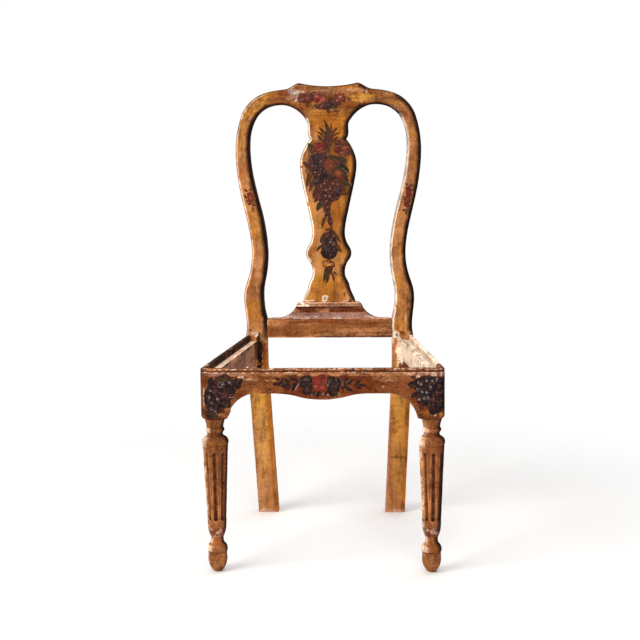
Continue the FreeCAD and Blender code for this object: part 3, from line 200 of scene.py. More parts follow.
stile_sprigs = [
    "wash coral", (0.8, (-186, 758), (-178, 762), (-170, 757), (-165, 744), (-170, 733),
        (-178, 731), (-184, 739)), "disc brick", (-177, 748, 6, 9), "disc rose", (-177, 746, 3, 4),
    "disc wine", (-182, 757, 4, 3), (-180, 734, 4, 3), "leaf umber", (-184, 762, -192, 768, 5),
    (-181, 764, -175, 770, 5), "leaf moss", (-187, 746, -191, 757, 4),
    "leaf umber", (-185, 736, -187, 745, 4), (-175, 731, -164, 731, 4),
    "leaf coral", (-174, 728, -170, 716, 6), "leaf gold", (-172, 708, -166, 698, 5),
    "wash brick", (0.85, (177, 770), (184, 773), (189, 764), (188, 748), (185, 736), (178, 724),
        (172, 726), (172, 738), (177, 750), (175, 762)), "disc wine", (184, 756, 5, 9),
    (181, 766, 5, 4), "disc coral", (174, 744, 4, 5), "disc mauve", (182, 739, 5, 6),
    "disc wine", (176, 732, 4, 4), "disc glow", (191, 757, 2, 5), "disc wine", (180, 727, 5, 4),
    "leaf umber", (181, 772, 176, 779, 5), (184, 771, 191, 776, 5),
    "leaf moss", (175, 719, 168, 715, 5), "leaf wine", (187, 762, 196, 763, 4),
    "leaf umber", (178, 722, 176, 706, 5),
]
rail_flowers = [
    "leaf night", (-80, 404, -101, 401, 8),
    "wash night", (0.85, (-84, 408), (-74, 415), (-65, 408), (-64, 396), (-74, 391), (-83, 397)),
    "disc moss", (-74, 403, 7, 6, 0.7), "leaf night", (-66, 400, -70, 389, 9),
    (-84, 409, -96, 413, 6), (-64, 412, -54, 419, 7),
    "line night", (6.0, (-64, 408), (-56, 411), (-50, 406), (-53, 401), (-60, 400)),
    "leaf night", (-49, 400, -61, 386, 9), "line bone", (2.4, (-46, 402), (-51, 395), (-55, 389)),
    "wash night", (0.95, (-45, 411), (-38, 419), (-26, 420), (-19, 412), (-19, 398), (-20, 384),
        (-30, 377), (-41, 381), (-47, 390), (-45, 400)),
    "bunch grape", (4.0, (-42, 410), (-30, 416), (-22, 408), (-22, 390), (-32, 381), (-43, 390)),
    "disc wine", (-43, 389, 5, 6), "line slate", (1.6, (-38, 409), (-32, 412), (-26, 411)),
    "wash brick", (0.95, (-19, 405), (-13, 416), (-4, 419), (6, 415), (11, 404), (10, 392),
        (2, 385), (-10, 386), (-18, 393)), "disc brick", (-8, 404, 6, 8),
    "disc wine", (0, 417, 6, 4), "disc rose", (-11, 396, 6, 3), (1, 393, 6, 3),
    "line rose", (1.4, (-4, 414), (-5, 404), (-2, 396)), (1.4, (5, 411), (5, 402), (2, 396)),
    "wash night", (0.95, (10, 413), (17, 419), (25, 415), (34, 413), (37, 402), (34, 388),
        (30, 377), (20, 375), (12, 382), (9, 394)),
    "bunch grape", (4.0, (14, 411), (24, 411), (33, 404), (31, 386), (22, 379), (13, 388)),
    "line bone", (1.5, (11, 411), (9, 404), (11, 398), (14, 401), (15, 409)),
    "leaf night", (-14, 386, -26, 376, 8), (-2, 386, -12, 373, 8),
    "leaf umber", (-2, 386, 2, 373, 7), "leaf night", (8, 386, 14, 372, 8),
    "line bone", (2.0, (-20, 381), (-21, 376)), (2.0, (3, 384), (1, 377)),
    "disc glow", (12, 378, 3, 3), "line bone", (2.2, (33, 383), (36, 378)),
    "leaf night", (40, 400, 34, 415, 6), (46, 398, 54, 417, 6), (48, 399, 67, 411, 6),
    (45, 398, 63, 386, 8), (43, 398, 42, 386, 6),
    "line night", (2.0, (44, 398), (66, 400), (88, 397)),
    "line bone", (1.6, (37, 414), (40, 405), (43, 397)), (1.6, (49, 404), (56, 408)),
    "leaf night", (65, 399, 81, 390, 6), (73, 400, 91, 397, 5), (68, 401, 79, 410, 5),
    "wash wine", (0.5, (36, 420), (56, 421), (52, 412), (40, 408)),
    (0.4, (-84, 420), (-50, 421), (-48, 412), (-70, 414)),
]
left_block_grapes = [
    "wash night", (0.96, (-226, 416), (-214, 413), (-206, 419), (-196, 421), (-187, 418),
        (-178, 408), (-170, 411), (-161, 411), (-162, 400), (-166, 393), (-175, 389), (-177, 378),
        (-184, 370), (-187, 360), (-195, 352), (-203, 350), (-206, 342), (-214, 338), (-218, 331),
        (-230, 329), (-238, 334), (-234, 350), (-240, 362), (-240, 384), (-233, 396), (-232, 408)),
    "bunch sloe", (4.4, (-222, 410), (-190, 408), (-178, 398), (-180, 380), (-190, 362),
        (-206, 352), (-228, 352), (-234, 372), (-228, 394)),
    "leaf moss", (-190, 414, -219, 410, 12), "leaf night", (-182, 397, -160, 412, 17),
    "leaf umber", (-198, 414, -190, 418, 5), "leaf moss", (-226, 342, -211, 331, 10),
    "disc moss", (-191, 358, 6, 6), "disc mauve", (-196, 376, 8, 8, 0.5), (-214, 386, 8, 6, 0.4),
    "line slate", (1.5, (-199, 404), (-206, 405), (-211, 400), (-208, 395), (-201, 394)),
    "disc slate", (-201, 400, 4, 3), "line glow", (2.0, (-207, 396), (-201, 394)),
    "disc slate", (-226, 387, 3, 2), (-229, 374, 3, 3), (-212, 370, 3, 3), (-224, 362, 2.5, 2),
    (-187, 404, 3, 3), "disc glow", (-219, 412, 2, 2),
    "line bone", (2.0, (-230, 351), (-222, 347), (-216, 343), (-213, 335)),
    (2.4, (-188, 374), (-178, 374)), "leaf umber", (-190, 379, -176, 377, 6),
    "line glow", (2.0, (-232, 404), (-234, 394), (-240, 386)),
    "leaf umber", (-206, 341, -199, 350, 6), (-236, 338, -246, 350, 9),
]
right_block_grapes = [
    "wash night", (0.97, (181, 404), (190, 412), (202, 417), (216, 418), (230, 415), (247, 414),
        (248, 350), (242, 343), (232, 340), (222, 335), (217, 341), (214, 353), (206, 356),
        (198, 362), (191, 361), (190, 372), (195, 381), (186, 389), (186, 397)),
    "bunch sloe", (4.4, (194, 408), (216, 413), (243, 408), (244, 360), (228, 346), (216, 360),
        (200, 366), (198, 382), (190, 394)), "leaf night", (190, 401, 172, 399, 15),
    (196, 383, 179, 374, 11), "leaf umber", (188, 412, 178, 417, 7), (203, 358, 199, 345, 10),
    "disc slate", (200, 400, 3, 3.5), (211, 407, 3, 3), (222, 407, 2.5, 3), (219, 394, 2, 4),
    (194, 403, 2, 4), (192, 390, 2, 4), (202, 384, 3, 3), (211, 383, 3, 3), (214, 372, 2, 4),
    (196, 369, 4, 3), (206, 371, 2, 4), "disc mauve", (233, 381, 5, 4, 0.4), (225, 366, 7, 5, 0.4),
    (236, 397, 5, 4, 0.4), "disc moss", (240, 365, 4, 6), "disc glow", (196, 368, 2, 1.5),
    (200, 399, 1.5, 1.5), "disc slate", (232, 410, 3, 4),
]


# Carved and worn surfaces


def grain(points, scale, seed):
    """Smooth noise from 0 to 1 at each point."""
    spots = points * scale + seed * 17.31
    cell = np.floor(spots).astype(np.int64)
    share = spots - cell
    share = share * share * (3 - 2 * share)

    def corner(step):
        mixed = (cell + step) @ np.array([374761393, 668265263, 1274126177]) + seed * 362437
        mixed = (mixed ^ (mixed >> 13)) * 1103515245
        mixed = (mixed ^ (mixed >> 16)) & 0xFFFF
        return mixed / 0xFFFF

    total = np.zeros(len(points))
    for step in np.ndindex(2, 2, 2):
        weight = np.prod(np.where(np.array(step) == 1, share, 1 - share), axis=1)
        total += weight * corner(np.array(step))
    return total


def rough_grain(points, scale, seed):
    """Noise with finer noise on top."""
    return (grain(points, scale, seed) * 0.6 + grain(points, scale * 2.3, seed + 1) * 0.27
            + grain(points, scale * 5.1, seed + 2) * 0.13)


def fade(low, high, values):
    """Smooth step from 0 at low to 1 at high."""
    share = np.clip((values - low) / (high - low), 0, 1)
    return share * share * (3 - 2 * share)


def carved(names, voxel):
    """Points and four-sided faces of several CAD nodes grown together into one surface."""
    build = bmesh.new()
    for name in names:
        build.from_mesh(nodes[name].data)
    bmesh.ops.remove_doubles(build, verts=build.verts, dist=1e-6)
    rough = bpy.data.meshes.new("rough")
    build.to_mesh(rough)
    build.free()
    block = bpy.data.objects.new("rough", rough)
    bpy.context.scene.collection.objects.link(block)
    remesh = block.modifiers.new("voxels", "REMESH")
    remesh.mode = "VOXEL"
    remesh.voxel_size = voxel
    cut = block.evaluated_get(bpy.context.evaluated_depsgraph_get()).to_mesh()
    points = np.empty(len(cut.vertices) * 3)
    cut.vertices.foreach_get("co", points)
    corners = np.empty(len(cut.loops), dtype=np.int64)
    cut.loops.foreach_get("vertex_index", corners)
    if len(cut.loops) != 4 * len(cut.polygons):
        raise RuntimeError("the grown surface has faces that aren't four-sided")
    block.to_mesh_clear()
    bpy.data.objects.remove(block)
    bpy.data.meshes.remove(rough)
    return points.reshape(-1, 3), corners.reshape(-1, 4)


class Skin:
    """CAD nodes grown together into one worn surface, with its edge wear and ground colours."""

    def __init__(self, names, voxel, seed):
        self.points, self.faces = carved(names, voxel)
        pairs = np.vstack([self.faces[:, [a, b]] for a, b in ((0, 1), (1, 2), (2, 3), (3, 0))])
        self.pairs = np.unique(np.sort(pairs, axis=1), axis=0)
        self.valence = np.bincount(self.pairs.ravel(), minlength=len(self.points)).astype(float)
        self.age(seed)
        self.ground = np.zeros((len(self.points), 3))
        self.bare = np.zeros(len(self.points))
        self.middle = self.points[self.faces].mean(axis=1)

    def averaged(self, values):
        """Mean of each vertex's neighbours."""
        first, second = self.pairs.T
        columns = []
        for column in values.T:
            total = np.bincount(first, column[second], len(values))
            total += np.bincount(second, column[first], len(values))
            columns.append(total / self.valence)
        return np.array(columns).T

    def smoothed(self, rounds):
        """Smoothed points, drawn in."""
        values = self.points
        for _ in range(rounds):
            values = (values + self.averaged(values)) / 2
        return values

    def settled(self, rounds):
        """Smoothed points, with the outline kept."""
        values = self.points
        for _ in range(rounds):
            values = values + (self.averaged(values) - values) * 0.5
            values = values - (self.averaged(values) - values) * 0.49
        return values

    def normals(self):
        """Unit normal of each vertex."""
        corners = self.points[self.faces]
        flat = np.cross(corners[:, 2] - corners[:, 0], corners[:, 3] - corners[:, 1])
        total = np.zeros_like(self.points)
        for column in range(4):
            for axis in range(3):
                total[:, axis] += np.bincount(self.faces[:, column], flat[:, axis], len(total))
        return total / np.maximum(np.linalg.norm(total, axis=1), 1e-12)[:, None]

    def rough(self, scale, seed, stretch=(1.0, 1.0, 1.0)):
        """Rough noise at each vertex."""
        return rough_grain(self.points * stretch, scale, seed)

    def age(self, seed, chips=0.5 * MM, wobble=0.25 * MM):
        """Soften the surface, chip its edges and keep how far each vertex stands out as edge."""
        self.points = self.settled(3)
        normals = self.normals()
        relief = np.sum((self.points - self.smoothed(24)) * normals, axis=1)
        self.edge = np.clip(relief / (0.9 * MM), -1, 1)
        chipped = fade(0.25, 0.8, self.edge) * fade(0.52, 0.68, self.rough(70, seed))
        sunk = chipped * chips + grain(self.points, 28, seed + 5) * wobble
        self.points = self.points - normals * sunk[:, None]
        self.normal = self.normals()


def rims(skin):
    """Distance in mm from each front vertex to the outline before it, and the way there."""
    x, _, z = np.abs(skin.points).T
    # Faces that are hidden in a joint are no part of the outline
    level = np.abs(skin.normal[:, 2]) > 0.7
    neck = ((x < 0.0235) & (z > 0.91) & (z < 0.935)) | (level & (x < 0.075) & (z < 0.93))
    mortise = (x > 0.146) & (x < 0.189) & (z > 0.36) & (z < 0.48)
    walls = np.flatnonzero((np.abs(skin.normal[:, 1]) < 0.45) & ~neck & ~mortise)
    tree = KDTree(len(walls))
    for x, z in skin.points[walls][:, [0, 2]]:
        tree.insert((x, z, 0.0), 0)
    tree.balance()
    away = np.zeros(len(skin.points))
    lean = np.column_stack([skin.normal[:, 0], skin.normal[:, 2]])
    for number in np.flatnonzero(skin.normal[:, 1] <= -0.45):
        x, _, z = skin.points[number]
        near, _, reach = tree.find((x, z, 0.0))
        away[number] = reach / MM
        if reach > 0.3 * MM:
            lean[number] = (near.x - x) / reach, (near.y - z) / reach
    for _ in range(2):
        lean = (lean + skin.averaged(lean)) / 2
    return away, lean


def lay(skin, ground, share, bare=0.0):
    """Paint a ground colour over a skin by a share for each vertex."""
    share = np.clip(share, 0, 1)
    colour = np.array(grounds[ground][:3])
    skin.ground = skin.ground * (1 - share[:, None]) + colour * share[:, None]
    skin.bare = skin.bare * (1 - share) + bare * share


def clouds(skin, colours, scale, seed, stretch=(1.0, 1.0, 1.0)):
    """Lay a first ground and drifts of others over it."""
    lay(skin, colours[0], np.ones(len(skin.points)))
    for number, ground in enumerate(colours[1:]):
        lay(skin, ground, fade(0.5, 0.62, skin.rough(scale, seed + 7 * number, stretch)) * 0.8)


def patch(skin, table, seed):
    """Ragged patches on the front faces of a skin."""
    points = skin.points / MM
    ragged = (skin.rough(150, seed) - 0.5) * 2.6
    front = fade(0.05, -0.25, skin.normal[:, 1])
    flecks = 0.45 + 0.55 * fade(0.36, 0.58, skin.rough(260, seed + 50))
    for ground, x, z, half_x, half_z, strength in table:
        reach = ((points[:, 0] - x) / half_x) ** 2 + ((points[:, 2] - z) / half_z) ** 2
        bare = 1.0 if ground in ("cream", "pink", "chalk", "grey") else 0.0
        lay(skin, ground, strength * fade(1.4, 0.6, reach + ragged) * flecks * front, bare)


def placed(name, mesh, material, slot, *replaced):
    """A piece of the chair, in place of some CAD nodes if it hides them."""
    mesh.materials.append(material)
    piece = bpy.data.objects.new(name, mesh)
    bpy.context.scene.collection.objects.link(piece)
    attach(piece, "root")
    if replaced:
        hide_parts(*replaced)
    return piece


def new_piece(name, skin, replaced, slot, material, keep=slice(None)):
    """One visible piece made of the kept faces of a skin."""
    faces = skin.faces[keep]
    used = np.unique(faces)
    order = np.full(len(skin.points), -1)
    order[used] = np.arange(len(used))
    faces = order[faces]
    mesh = bpy.data.meshes.new(name)
    mesh.vertices.add(len(used))
    mesh.vertices.foreach_set("co", skin.points[used].ravel())
    mesh.loops.add(faces.size)
    mesh.loops.foreach_set("vertex_index", faces.ravel())
    mesh.polygons.add(len(faces))
    mesh.polygons.foreach_set("loop_start", np.arange(len(faces)) * 4)
    mesh.polygons.foreach_set("use_smooth", np.ones(len(faces), dtype=bool))
    mesh.update(calc_edges=True)
    for mask, values in (("edge", skin.edge), ("bare", skin.bare)):
        layer = mesh.attributes.new(mask, "FLOAT", "POINT")
        layer.data.foreach_set("value", values[used].astype(np.float32))
    shades = np.ones((len(used), 4), dtype=np.float32)
    shades[:, :3] = skin.ground[used]
    layer = mesh.color_attributes.new("ground", "FLOAT_COLOR", "POINT")
    layer.data.foreach_set("color", shades.ravel())
    mesh.normals_split_custom_set_from_vertices([tuple(n) for n in skin.normal[used]])
    return placed(name, mesh, material, slot, *replaced)


def both_sides(part, skin, slot, material, keep):
    """The left and the right one of a pair, parted along the middle of the chair."""
    return [
        new_piece(f"{part}_{word}_painted", skin, [f"{part}_{word}"], slot, material,
                  keep & (skin.middle[:, 0] * side > 0))
        for word, side in SIDES
    ]


# Materials


class Graph:
    """A material's nodes, written as nested calls."""

    def __init__(self, name):
        self.material = bpy.data.materials.new(name)
        self.material.use_nodes = True
        self.nodes = self.material.node_tree.nodes
        self.links = self.material.node_tree.links
        self.nodes.clear()
        self.spot = self.nodes.new("ShaderNodeTexCoord").outputs["Object"]

    def put(self, socket, value):
        """Link a socket, or set its number or colour."""
        if isinstance(value, bpy.types.NodeSocket):
            self.links.new(value, socket)
        else:
            socket.default_value = value

    def node(self, kind, inputs, **settings):
        """The outputs of a new node."""
        node = self.nodes.new("ShaderNode" + kind)
        for name, value in settings.items():
            setattr(node, name, value)
        for name, value in inputs.items():
            self.put(node.inputs[name], value)
        return node.outputs

    def mask(self, name):
        return self.node("Attribute", {}, attribute_name=name)["Fac"]

    def colours(self, name):
        return self.node("VertexColor", {}, layer_name=name)

    def sums(self, kind, first, second):
        return self.node("Math", {0: first, 1: second}, operation=kind)[0]

    def times(self, first, second):
        return self.sums("MULTIPLY", first, second)

    def plus(self, first, second):
        return self.sums("ADD", first, second)

    def fade(self, value, low, high):
        """Smooth step from 0 at low to 1 at high."""
        flip = low > high
        ends = {"Value": value, "From Min": min(low, high), "From Max": max(low, high),
                "To Min": 1.0 if flip else 0.0, "To Max": 0.0 if flip else 1.0}
        return self.node("MapRange", ends, interpolation_type="SMOOTHSTEP")["Result"]

    def noise(self, scale, detail, stretch=(1.0, 1.0, 1.0)):
        spot = self.node("VectorMath", {0: self.spot, 1: stretch}, operation="MULTIPLY")[0]
        return self.node("TexNoise", {"Vector": spot, "Scale": scale, "Detail": detail})["Fac"]

    def cracks(self, scale):
        inputs = {"Vector": self.spot, "Scale": scale}
        return self.node("TexVoronoi", inputs, feature="DISTANCE_TO_EDGE")["Distance"]

    def mix(self, share, first, second):
        return self.node("Mix", {0: share, 6: first, 7: second}, data_type="RGBA")[2]

    def scaled(self, colour, factor):
        return self.node("VectorMath", {0: colour, "Scale": factor}, operation="SCALE")[0]

    def surface(self, colour, roughness, height, strength, distance, alpha=1.0):
        """The material, finished with its colour, gloss and relief."""
        relief = {"Strength": strength, "Distance": distance, "Height": height}
        shader = {"Base Color": colour, "Roughness": roughness, "Specular IOR Level": SPECULAR,
                  "Normal": self.node("Bump", relief)["Normal"], "Alpha": alpha}
        self.node("OutputMaterial", {"Surface": self.node("BsdfPrincipled", shader)["BSDF"]})
        return self.material


umber = tint(30, 17, 11)
# Brush strokes and wood grain run along the axis with the small number
UPRIGHT = (1.0, 1.0, 0.12)
LEVEL = (0.12, 1.0, 1.0)


def aged_paint(name, stretch, dirt=(60, 30, 14), grimy=0.3, hollows=0.5, grainy=2.3, brushed=1.5):
    """Old paint over gesso: brush streaks, crazing, specks and grime, with painted shade in the
    hollows and edges made lighter as rubbed paint and painted highlight.
    """
    graph = Graph(name)
    edge = graph.mask("edge")
    bare = graph.mask("bare")
    cloud = graph.noise(16.0, 4.0)
    patches = graph.noise(48.0, 4.0)
    streak = graph.noise(90.0, 4.0, stretch)
    speck = graph.noise(270.0, 3.0)
    paint = graph.sums("SUBTRACT", 1.0, graph.times(bare, 0.75))
    drift = 1.0
    for noise, strength in ((cloud, 1.1), (patches, 0.9), (speck, grainy), (streak, brushed)):
        drift = graph.plus(graph.times(graph.plus(noise, -0.5), strength), drift)
    colour = graph.scaled(graph.colours("ground")["Color"], drift)
    grime = graph.times(graph.times(graph.fade(streak, 0.5, 0.66), grimy), paint)
    colour = graph.mix(grime, colour, tint(*dirt))
    specked = graph.times(graph.fade(speck, 0.58, 0.68), grainy * 0.1)
    colour = graph.mix(specked, colour, tint(*dirt))
    crazed = graph.fade(graph.cracks(210.0), 0.06, 0.0)
    crazed = graph.times(crazed, graph.fade(patches, 0.46, 0.58))
    colour = graph.mix(graph.times(crazed, grainy * 0.12), colour, umber)
    # Darker in the hollows: grime and painted shade
    hollow = graph.fade(edge, -0.1, -0.7)
    colour = graph.mix(graph.times(hollow, hollows), colour, umber)
    # Convex edges lighter: rubbed paint and painted highlight
    uneven = graph.times(graph.plus(patches, -0.5), 1.4)
    rubbed_and_lit_edge = graph.times(graph.fade(graph.plus(edge, uneven), 0.4, 0.8), paint)
    colour = graph.scaled(colour, graph.plus(graph.times(rubbed_and_lit_edge, 0.35), 1.0))
    roughness = graph.plus(graph.times(patches, 0.3), graph.plus(graph.times(bare, 0.2), 0.42))
    height = graph.plus(graph.times(streak, 0.35), graph.times(speck, 0.25))
    height = graph.plus(height, graph.times(graph.plus(crazed, bare), -0.25))
    return graph.surface(colour, roughness, height, 0.45, 0.5 * MM)


def peg_wood():
    """Plain wood with dirt in it."""
    graph = Graph("peg_wood")
    light, deep = tint(142, 102, 66), tint(100, 66, 40)
    fibre = graph.noise(160.0, 4.0)
    figure = graph.noise(38.0, 3.0)
    colour = graph.mix(graph.fade(figure, 0.38, 0.62), deep, light)
    colour = graph.mix(graph.times(graph.fade(fibre, 0.5, 0.66), 0.45), colour, deep)
    height = graph.plus(graph.times(fibre, 0.6), graph.times(figure, 0.4))
    return graph.surface(colour, graph.plus(graph.times(figure, 0.2), 0.5), height, 0.5, 0.6 * MM)


# Places of worn and changed paint, and some of painted shade: colour, middle, half sizes in
# millimetres, strength
crest_patches = [
    ("brown", 0, 975, 110, 16, 0.9), ("lilac", 0, 986, 70, 8, 0.35),
    ("oxblood", -112, 957, 40, 5, 0.5), ("rust", -95, 985, 26, 7, 0.6),
    ("soot", -40, 993, 40, 4, 0.6), ("rust", -60, 950, 34, 8, 0.5), ("honey", 80, 971, 28, 12, 1.0),
    ("straw", 86, 973, 22, 9, 0.6), ("clay", 132, 962, 44, 12, 0.8),
    ("salmon", 66, 989, 20, 5, 0.85), ("amber", 0, 930, 30, 12, 0.8),
    ("honey", 150, 958, 24, 8, 0.5), ("honey", -150, 955, 26, 8, 0.5),
    ("rust", 60, 953, 22, 6, 0.5), ("brown", 118, 972, 20, 8, 0.5), ("clay", -118, 968, 24, 8, 0.6),
    ("grey", -79, 985, 13, 7, 0.95), ("chalk", -74, 983, 5, 3, 0.8), ("grey", -70, 973, 4, 9, 1.0),
    ("lilac", -86, 973, 9, 6, 0.8), ("pink", -62, 986, 9, 2.4, 0.9), ("chalk", -73, 966, 4, 2, 0.9),
    ("salmon", -20, 988, 22, 3, 0.5), ("cream", 88, 984, 4, 3, 0.7), ("pink", -198, 928, 5, 3, 0.9),
    ("pink", -177, 927, 4, 3, 0.7), ("soot", -183, 928, 3, 3, 0.9), ("soot", -187, 948, 16, 6, 0.4),
    ("honey", -192, 900, 8, 30, 0.5), ("soot", 0, 1003, 75, 2.5, 0.8), ("soot", 49, 968, 3, 2, 0.6),
]
splat_patches = [
    ("amber", 0, 910, 30, 16, 0.9), ("rust", 10, 900, 22, 14, 0.4), ("amber", 20, 895, 14, 16, 0.5),
    ("salmon", -36, 890, 10, 16, 0.6), ("ochre", 48, 800, 10, 50, 0.5),
    ("salmon", -50, 800, 9, 40, 0.5), ("honey", 42, 730, 14, 26, 0.6),
    ("honey", -34, 700, 12, 30, 0.7), ("amber", 30, 700, 14, 26, 0.6),
    ("salmon", -24, 660, 10, 30, 0.4), ("tan", 28, 660, 10, 30, 0.6), ("tan", 24, 600, 12, 30, 0.7),
    ("salmon", -26, 600, 12, 30, 0.6), ("ochre", -6, 545, 40, 20, 0.9),
    ("brown", 36, 560, 14, 24, 0.6), ("honey", -40, 545, 14, 20, 0.6),
    ("amber", 0, 522, 44, 12, 0.6), ("brown", -36, 534, 16, 8, 0.6), ("cream", -10, 517, 7, 9, 1.6),
    ("grey", -10, 517, 4.4, 6, 1.6), ("honey", -40, 520, 12, 10, 0.8),
    ("cream", -44, 512, 12, 1.8, 0.9), ("salmon", 44, 520, 5, 10, 0.9),
    ("pink", 38, 511, 10, 2, 0.9), ("soot", 42, 560, 5, 30, 0.35),
    ("black", -36, 511, 10, 1.4, 0.8), ("soot", 36, 528, 2, 10, 0.8),
    ("pink", -50, 905, 3, 17, 0.8),
]
stile_patches = [
    ("honey", -160, 300, 20, 110, 1.5), ("straw", -166, 220, 20, 180, 0.6),
    ("salmon", -166, 120, 20, 120, 0.5), ("tan", -160, 60, 20, 60, 0.4),
    ("honey", 158, 300, 20, 90, 1.4), ("straw", 160, 290, 14, 90, 0.4),
    ("honey", 164, 140, 20, 110, 1.2), ("oxblood", 166, 138, 26, 3, 0.7),
    ("brown", 160, 60, 18, 50, 0.4), ("pink", -160, 4, 24, 5, 0.5), ("pink", 160, 4, 24, 5, 0.4),
    ("brown", -178, 560, 12, 40, 0.5), ("salmon", -186, 600, 8, 50, 0.5),
    ("brown", -190, 660, 12, 40, 0.4), ("honey", -200, 720, 10, 40, 0.6),
    ("clay", -196, 800, 14, 50, 0.4), ("honey", 195, 700, 12, 50, 0.7),
    ("honey", 175, 640, 12, 40, 0.6), ("brown", 196, 800, 14, 50, 0.5),
    ("amber", 170, 560, 10, 50, 0.5), ("ochre", -172, 480, 20, 34, 0.8),
    ("brown", 172, 490, 12, 30, 0.5), ("pink", 175, 470, 2, 12, 0.5),
    ("salmon", -153, 460, 3, 16, 0.7), ("pink", -172, 437, 13, 4, 0.85),
    ("cream", -165, 432, 9, 3, 0.9), ("salmon", -158, 440, 4, 6, 0.7),
    ("soot", -184, 445, 7, 2, 0.7), ("black", -157, 431, 4, 3, 0.7), ("soot", 187, 455, 4, 18, 0.7),
    ("oxblood", 166, 437, 8, 4, 0.9), ("pink", 183, 437, 4, 5, 0.8), ("cream", 153, 433, 7, 8, 1.2),
    ("bark", 154, 433, 4.4, 5.4, 1.2), ("grey", 154, 433, 2.6, 3, 0.8),
    ("lilac", -183, 362, 14, 12, 1.5), ("bark", -173, 372, 5, 12, 0.8),
    # Painted shade on the posts where the side rails meet them: the black on the left and the
    # oxblood on the right
    ("black", -162, 392, 8, 38, 1.9), ("rust", -148, 386, 6, 38, 1.6),
    ("clay", -147, 432, 5, 12, 0.8), ("cream", 165, 390, 10, 32, 1.6),
    ("oxblood", 172, 356, 13, 13, 1.9), ("pink", 157, 392, 2.6, 34, 0.9),
    ("brown", 145, 400, 3, 36, 0.8),
]

paint_upright = aged_paint("aged_paint_upright", UPRIGHT, grimy=0.14, grainy=1.3, brushed=1.8)
paint_level = aged_paint("aged_paint_level", LEVEL)
paint_brown = aged_paint("aged_paint_brown", LEVEL, (48, 24, 14), 0.4)
paint_leg = aged_paint("aged_paint_leg", UPRIGHT, (48, 22, 12), 0.45, 0.85)
wood_across = aged_paint("worn_wood_across", (0.06, 1.0, 1.0), (84, 46, 26), 0.35)
wood_along = aged_paint("worn_wood_along", (1.0, 0.06, 1.0), (84, 54, 40), 0.25, 0.25)

# The hooped back: crest rail, posts and splat grown together, then parted at their joints
back = Skin(["crest_rail", "rear_post_left", "rear_post_right", "back_splat"], BACK_VOXEL, 3)
away, lean = rims(back)
x, y, z = back.points.T
# The joint between neck and splat gets no edge marks: no rubbed paint, painted highlight or painted
# shade
back.edge *= 1 - fade(0.032, 0.028, np.abs(x)) * fade(0.912, 0.916, z) * fade(0.932, 0.928, z)
face = fade(0.1, -0.5, back.normal[:, 1])
is_splat = (np.abs(x) < SPLAT_REACH) & (z < 0.925)
on_crest = fade(0.905, 0.94, z) * (1 - is_splat)
clouds(back, ["ochre", "honey", "amber", "tan"], 22, 101, (1.0, 1.0, 0.5))
on_stile = (np.abs(x) > HOOP_REACH) * (1 - on_crest)
drift = back.rough(34, 131, (1.0, 1.0, 0.4))
high = fade(0.38, 0.44, z)
lay(back, "tan", on_stile * fade(0.46, 0.6, drift) * 0.7 * high)
lay(back, "salmon", on_stile * fade(0.44, 0.6, back.rough(80, 133)) * 0.5 * high)
lay(back, "clay", on_stile * fade(0.54, 0.66, back.rough(30, 137)) * 0.6 * high)
lay(back, "clay", on_crest * fade(0.44, 0.6, back.rough(26, 141)) * 0.7)
lay(back, "rust", on_crest * fade(0.54, 0.66, back.rough(40, 151)) * 0.6)
patch(back, crest_patches, 11)
patch(back, splat_patches, 12)
patch(back, stile_patches, 13)
ragged = (back.rough(90, 161) - 0.5) * 6
wisps = back.rough(60, 171)
left_way = fade(0.25, 0.6, -lean[:, 0])
right_way = fade(0.2, 0.6, lean[:, 0])
under_way = fade(0.3, 0.7, -lean[:, 1]) * on_crest
top_way = fade(0.3, 0.7, lean[:, 1]) * on_crest
upper = fade(0.40, 0.46, z)
on_right = x > HOOP_REACH
near = away + ragged * 0.25
inner_high = face * left_way * on_right * fade(0.72, 0.8, z)
# Pale, broken line along the left of the outline: painted highlight and rubbed paint together
pale = face * left_way * fade(4.6, 2.8, away + ragged * 0.5) * (0.3 + 0.5 * upper)
lay(back, "pink", pale * fade(0.3, 0.44, wisps), 0.5)
lay(back, "chalk", inner_high * fade(6.5, 4.5, near) * fade(0.3, 0.5, wisps) * 0.8, 0.5)
# Cream along the left of the splat and around its foot: painted highlight and bare gesso together
foot = fade(0.545, 0.53, z) * is_splat
lay(back, "cream", face * left_way * is_splat * fade(4.4, 3.2, near) * fade(0.28, 0.4, wisps), 0.8)
lay(back, "cream", foot * face * left_way * fade(6.4, 5.0, away) * (0.4 + 0.6 * wisps), 0.9)
lay(back, "soot", foot * face * left_way * fade(1.3, 0.6, np.abs(away - 3.6)) * 0.8)
lay(back, "salmon", foot * face * right_way * fade(10.0, 8.0, away + ragged) * 0.8, 0.4)
# Painted highlight and bare gesso along the inner edge of the right stile, as along the splat
inner_right = face * left_way * on_right * upper
line = inner_right * fade(5.2, 4.2, near) * fade(0.8, 0.72, z)
lay(back, "cream", line * fade(0.28, 0.4, wisps), 0.9)
lay(back, "chalk", inner_right * fade(3.6, 2.6, near), 0.9)
lay(back, "grey", inner_right * fade(3.0, 2.0, near) * fade(0.46, 0.56, wisps) * 0.8, 0.9)
# Painted shade, dark brown to black, along the right of the outline and under the arches; a thin
# black line along the top
wide = 1.5 - 0.3 * on_crest * (x < 0.05)
lay(back, "soot", face * right_way * fade(8.5, 4.5, (away + ragged) / wide) * 0.8 * upper)
lay(back, "black", face * right_way * fade(4.6, 3.2, (away + ragged * 0.4) / wide) * upper)
lay(back, "soot", face * under_way * fade(8.5, 5.0, away + ragged) * 0.8)
lay(back, "black", face * under_way * fade(4.2, 2.8, away + ragged * 0.4))
lay(back, "black", face * top_way * fade(2.8, 1.6, away + ragged * 0.3) * 0.8)
# Thin dark hem outside the pale line
hem = face * left_way * fade(1.9, 0.9, away) * (1 - on_right)
lay(back, "bark", hem * 0.8)
lay(back, "soot", hem * fade(0.48, 0.54, wisps) * 0.7)
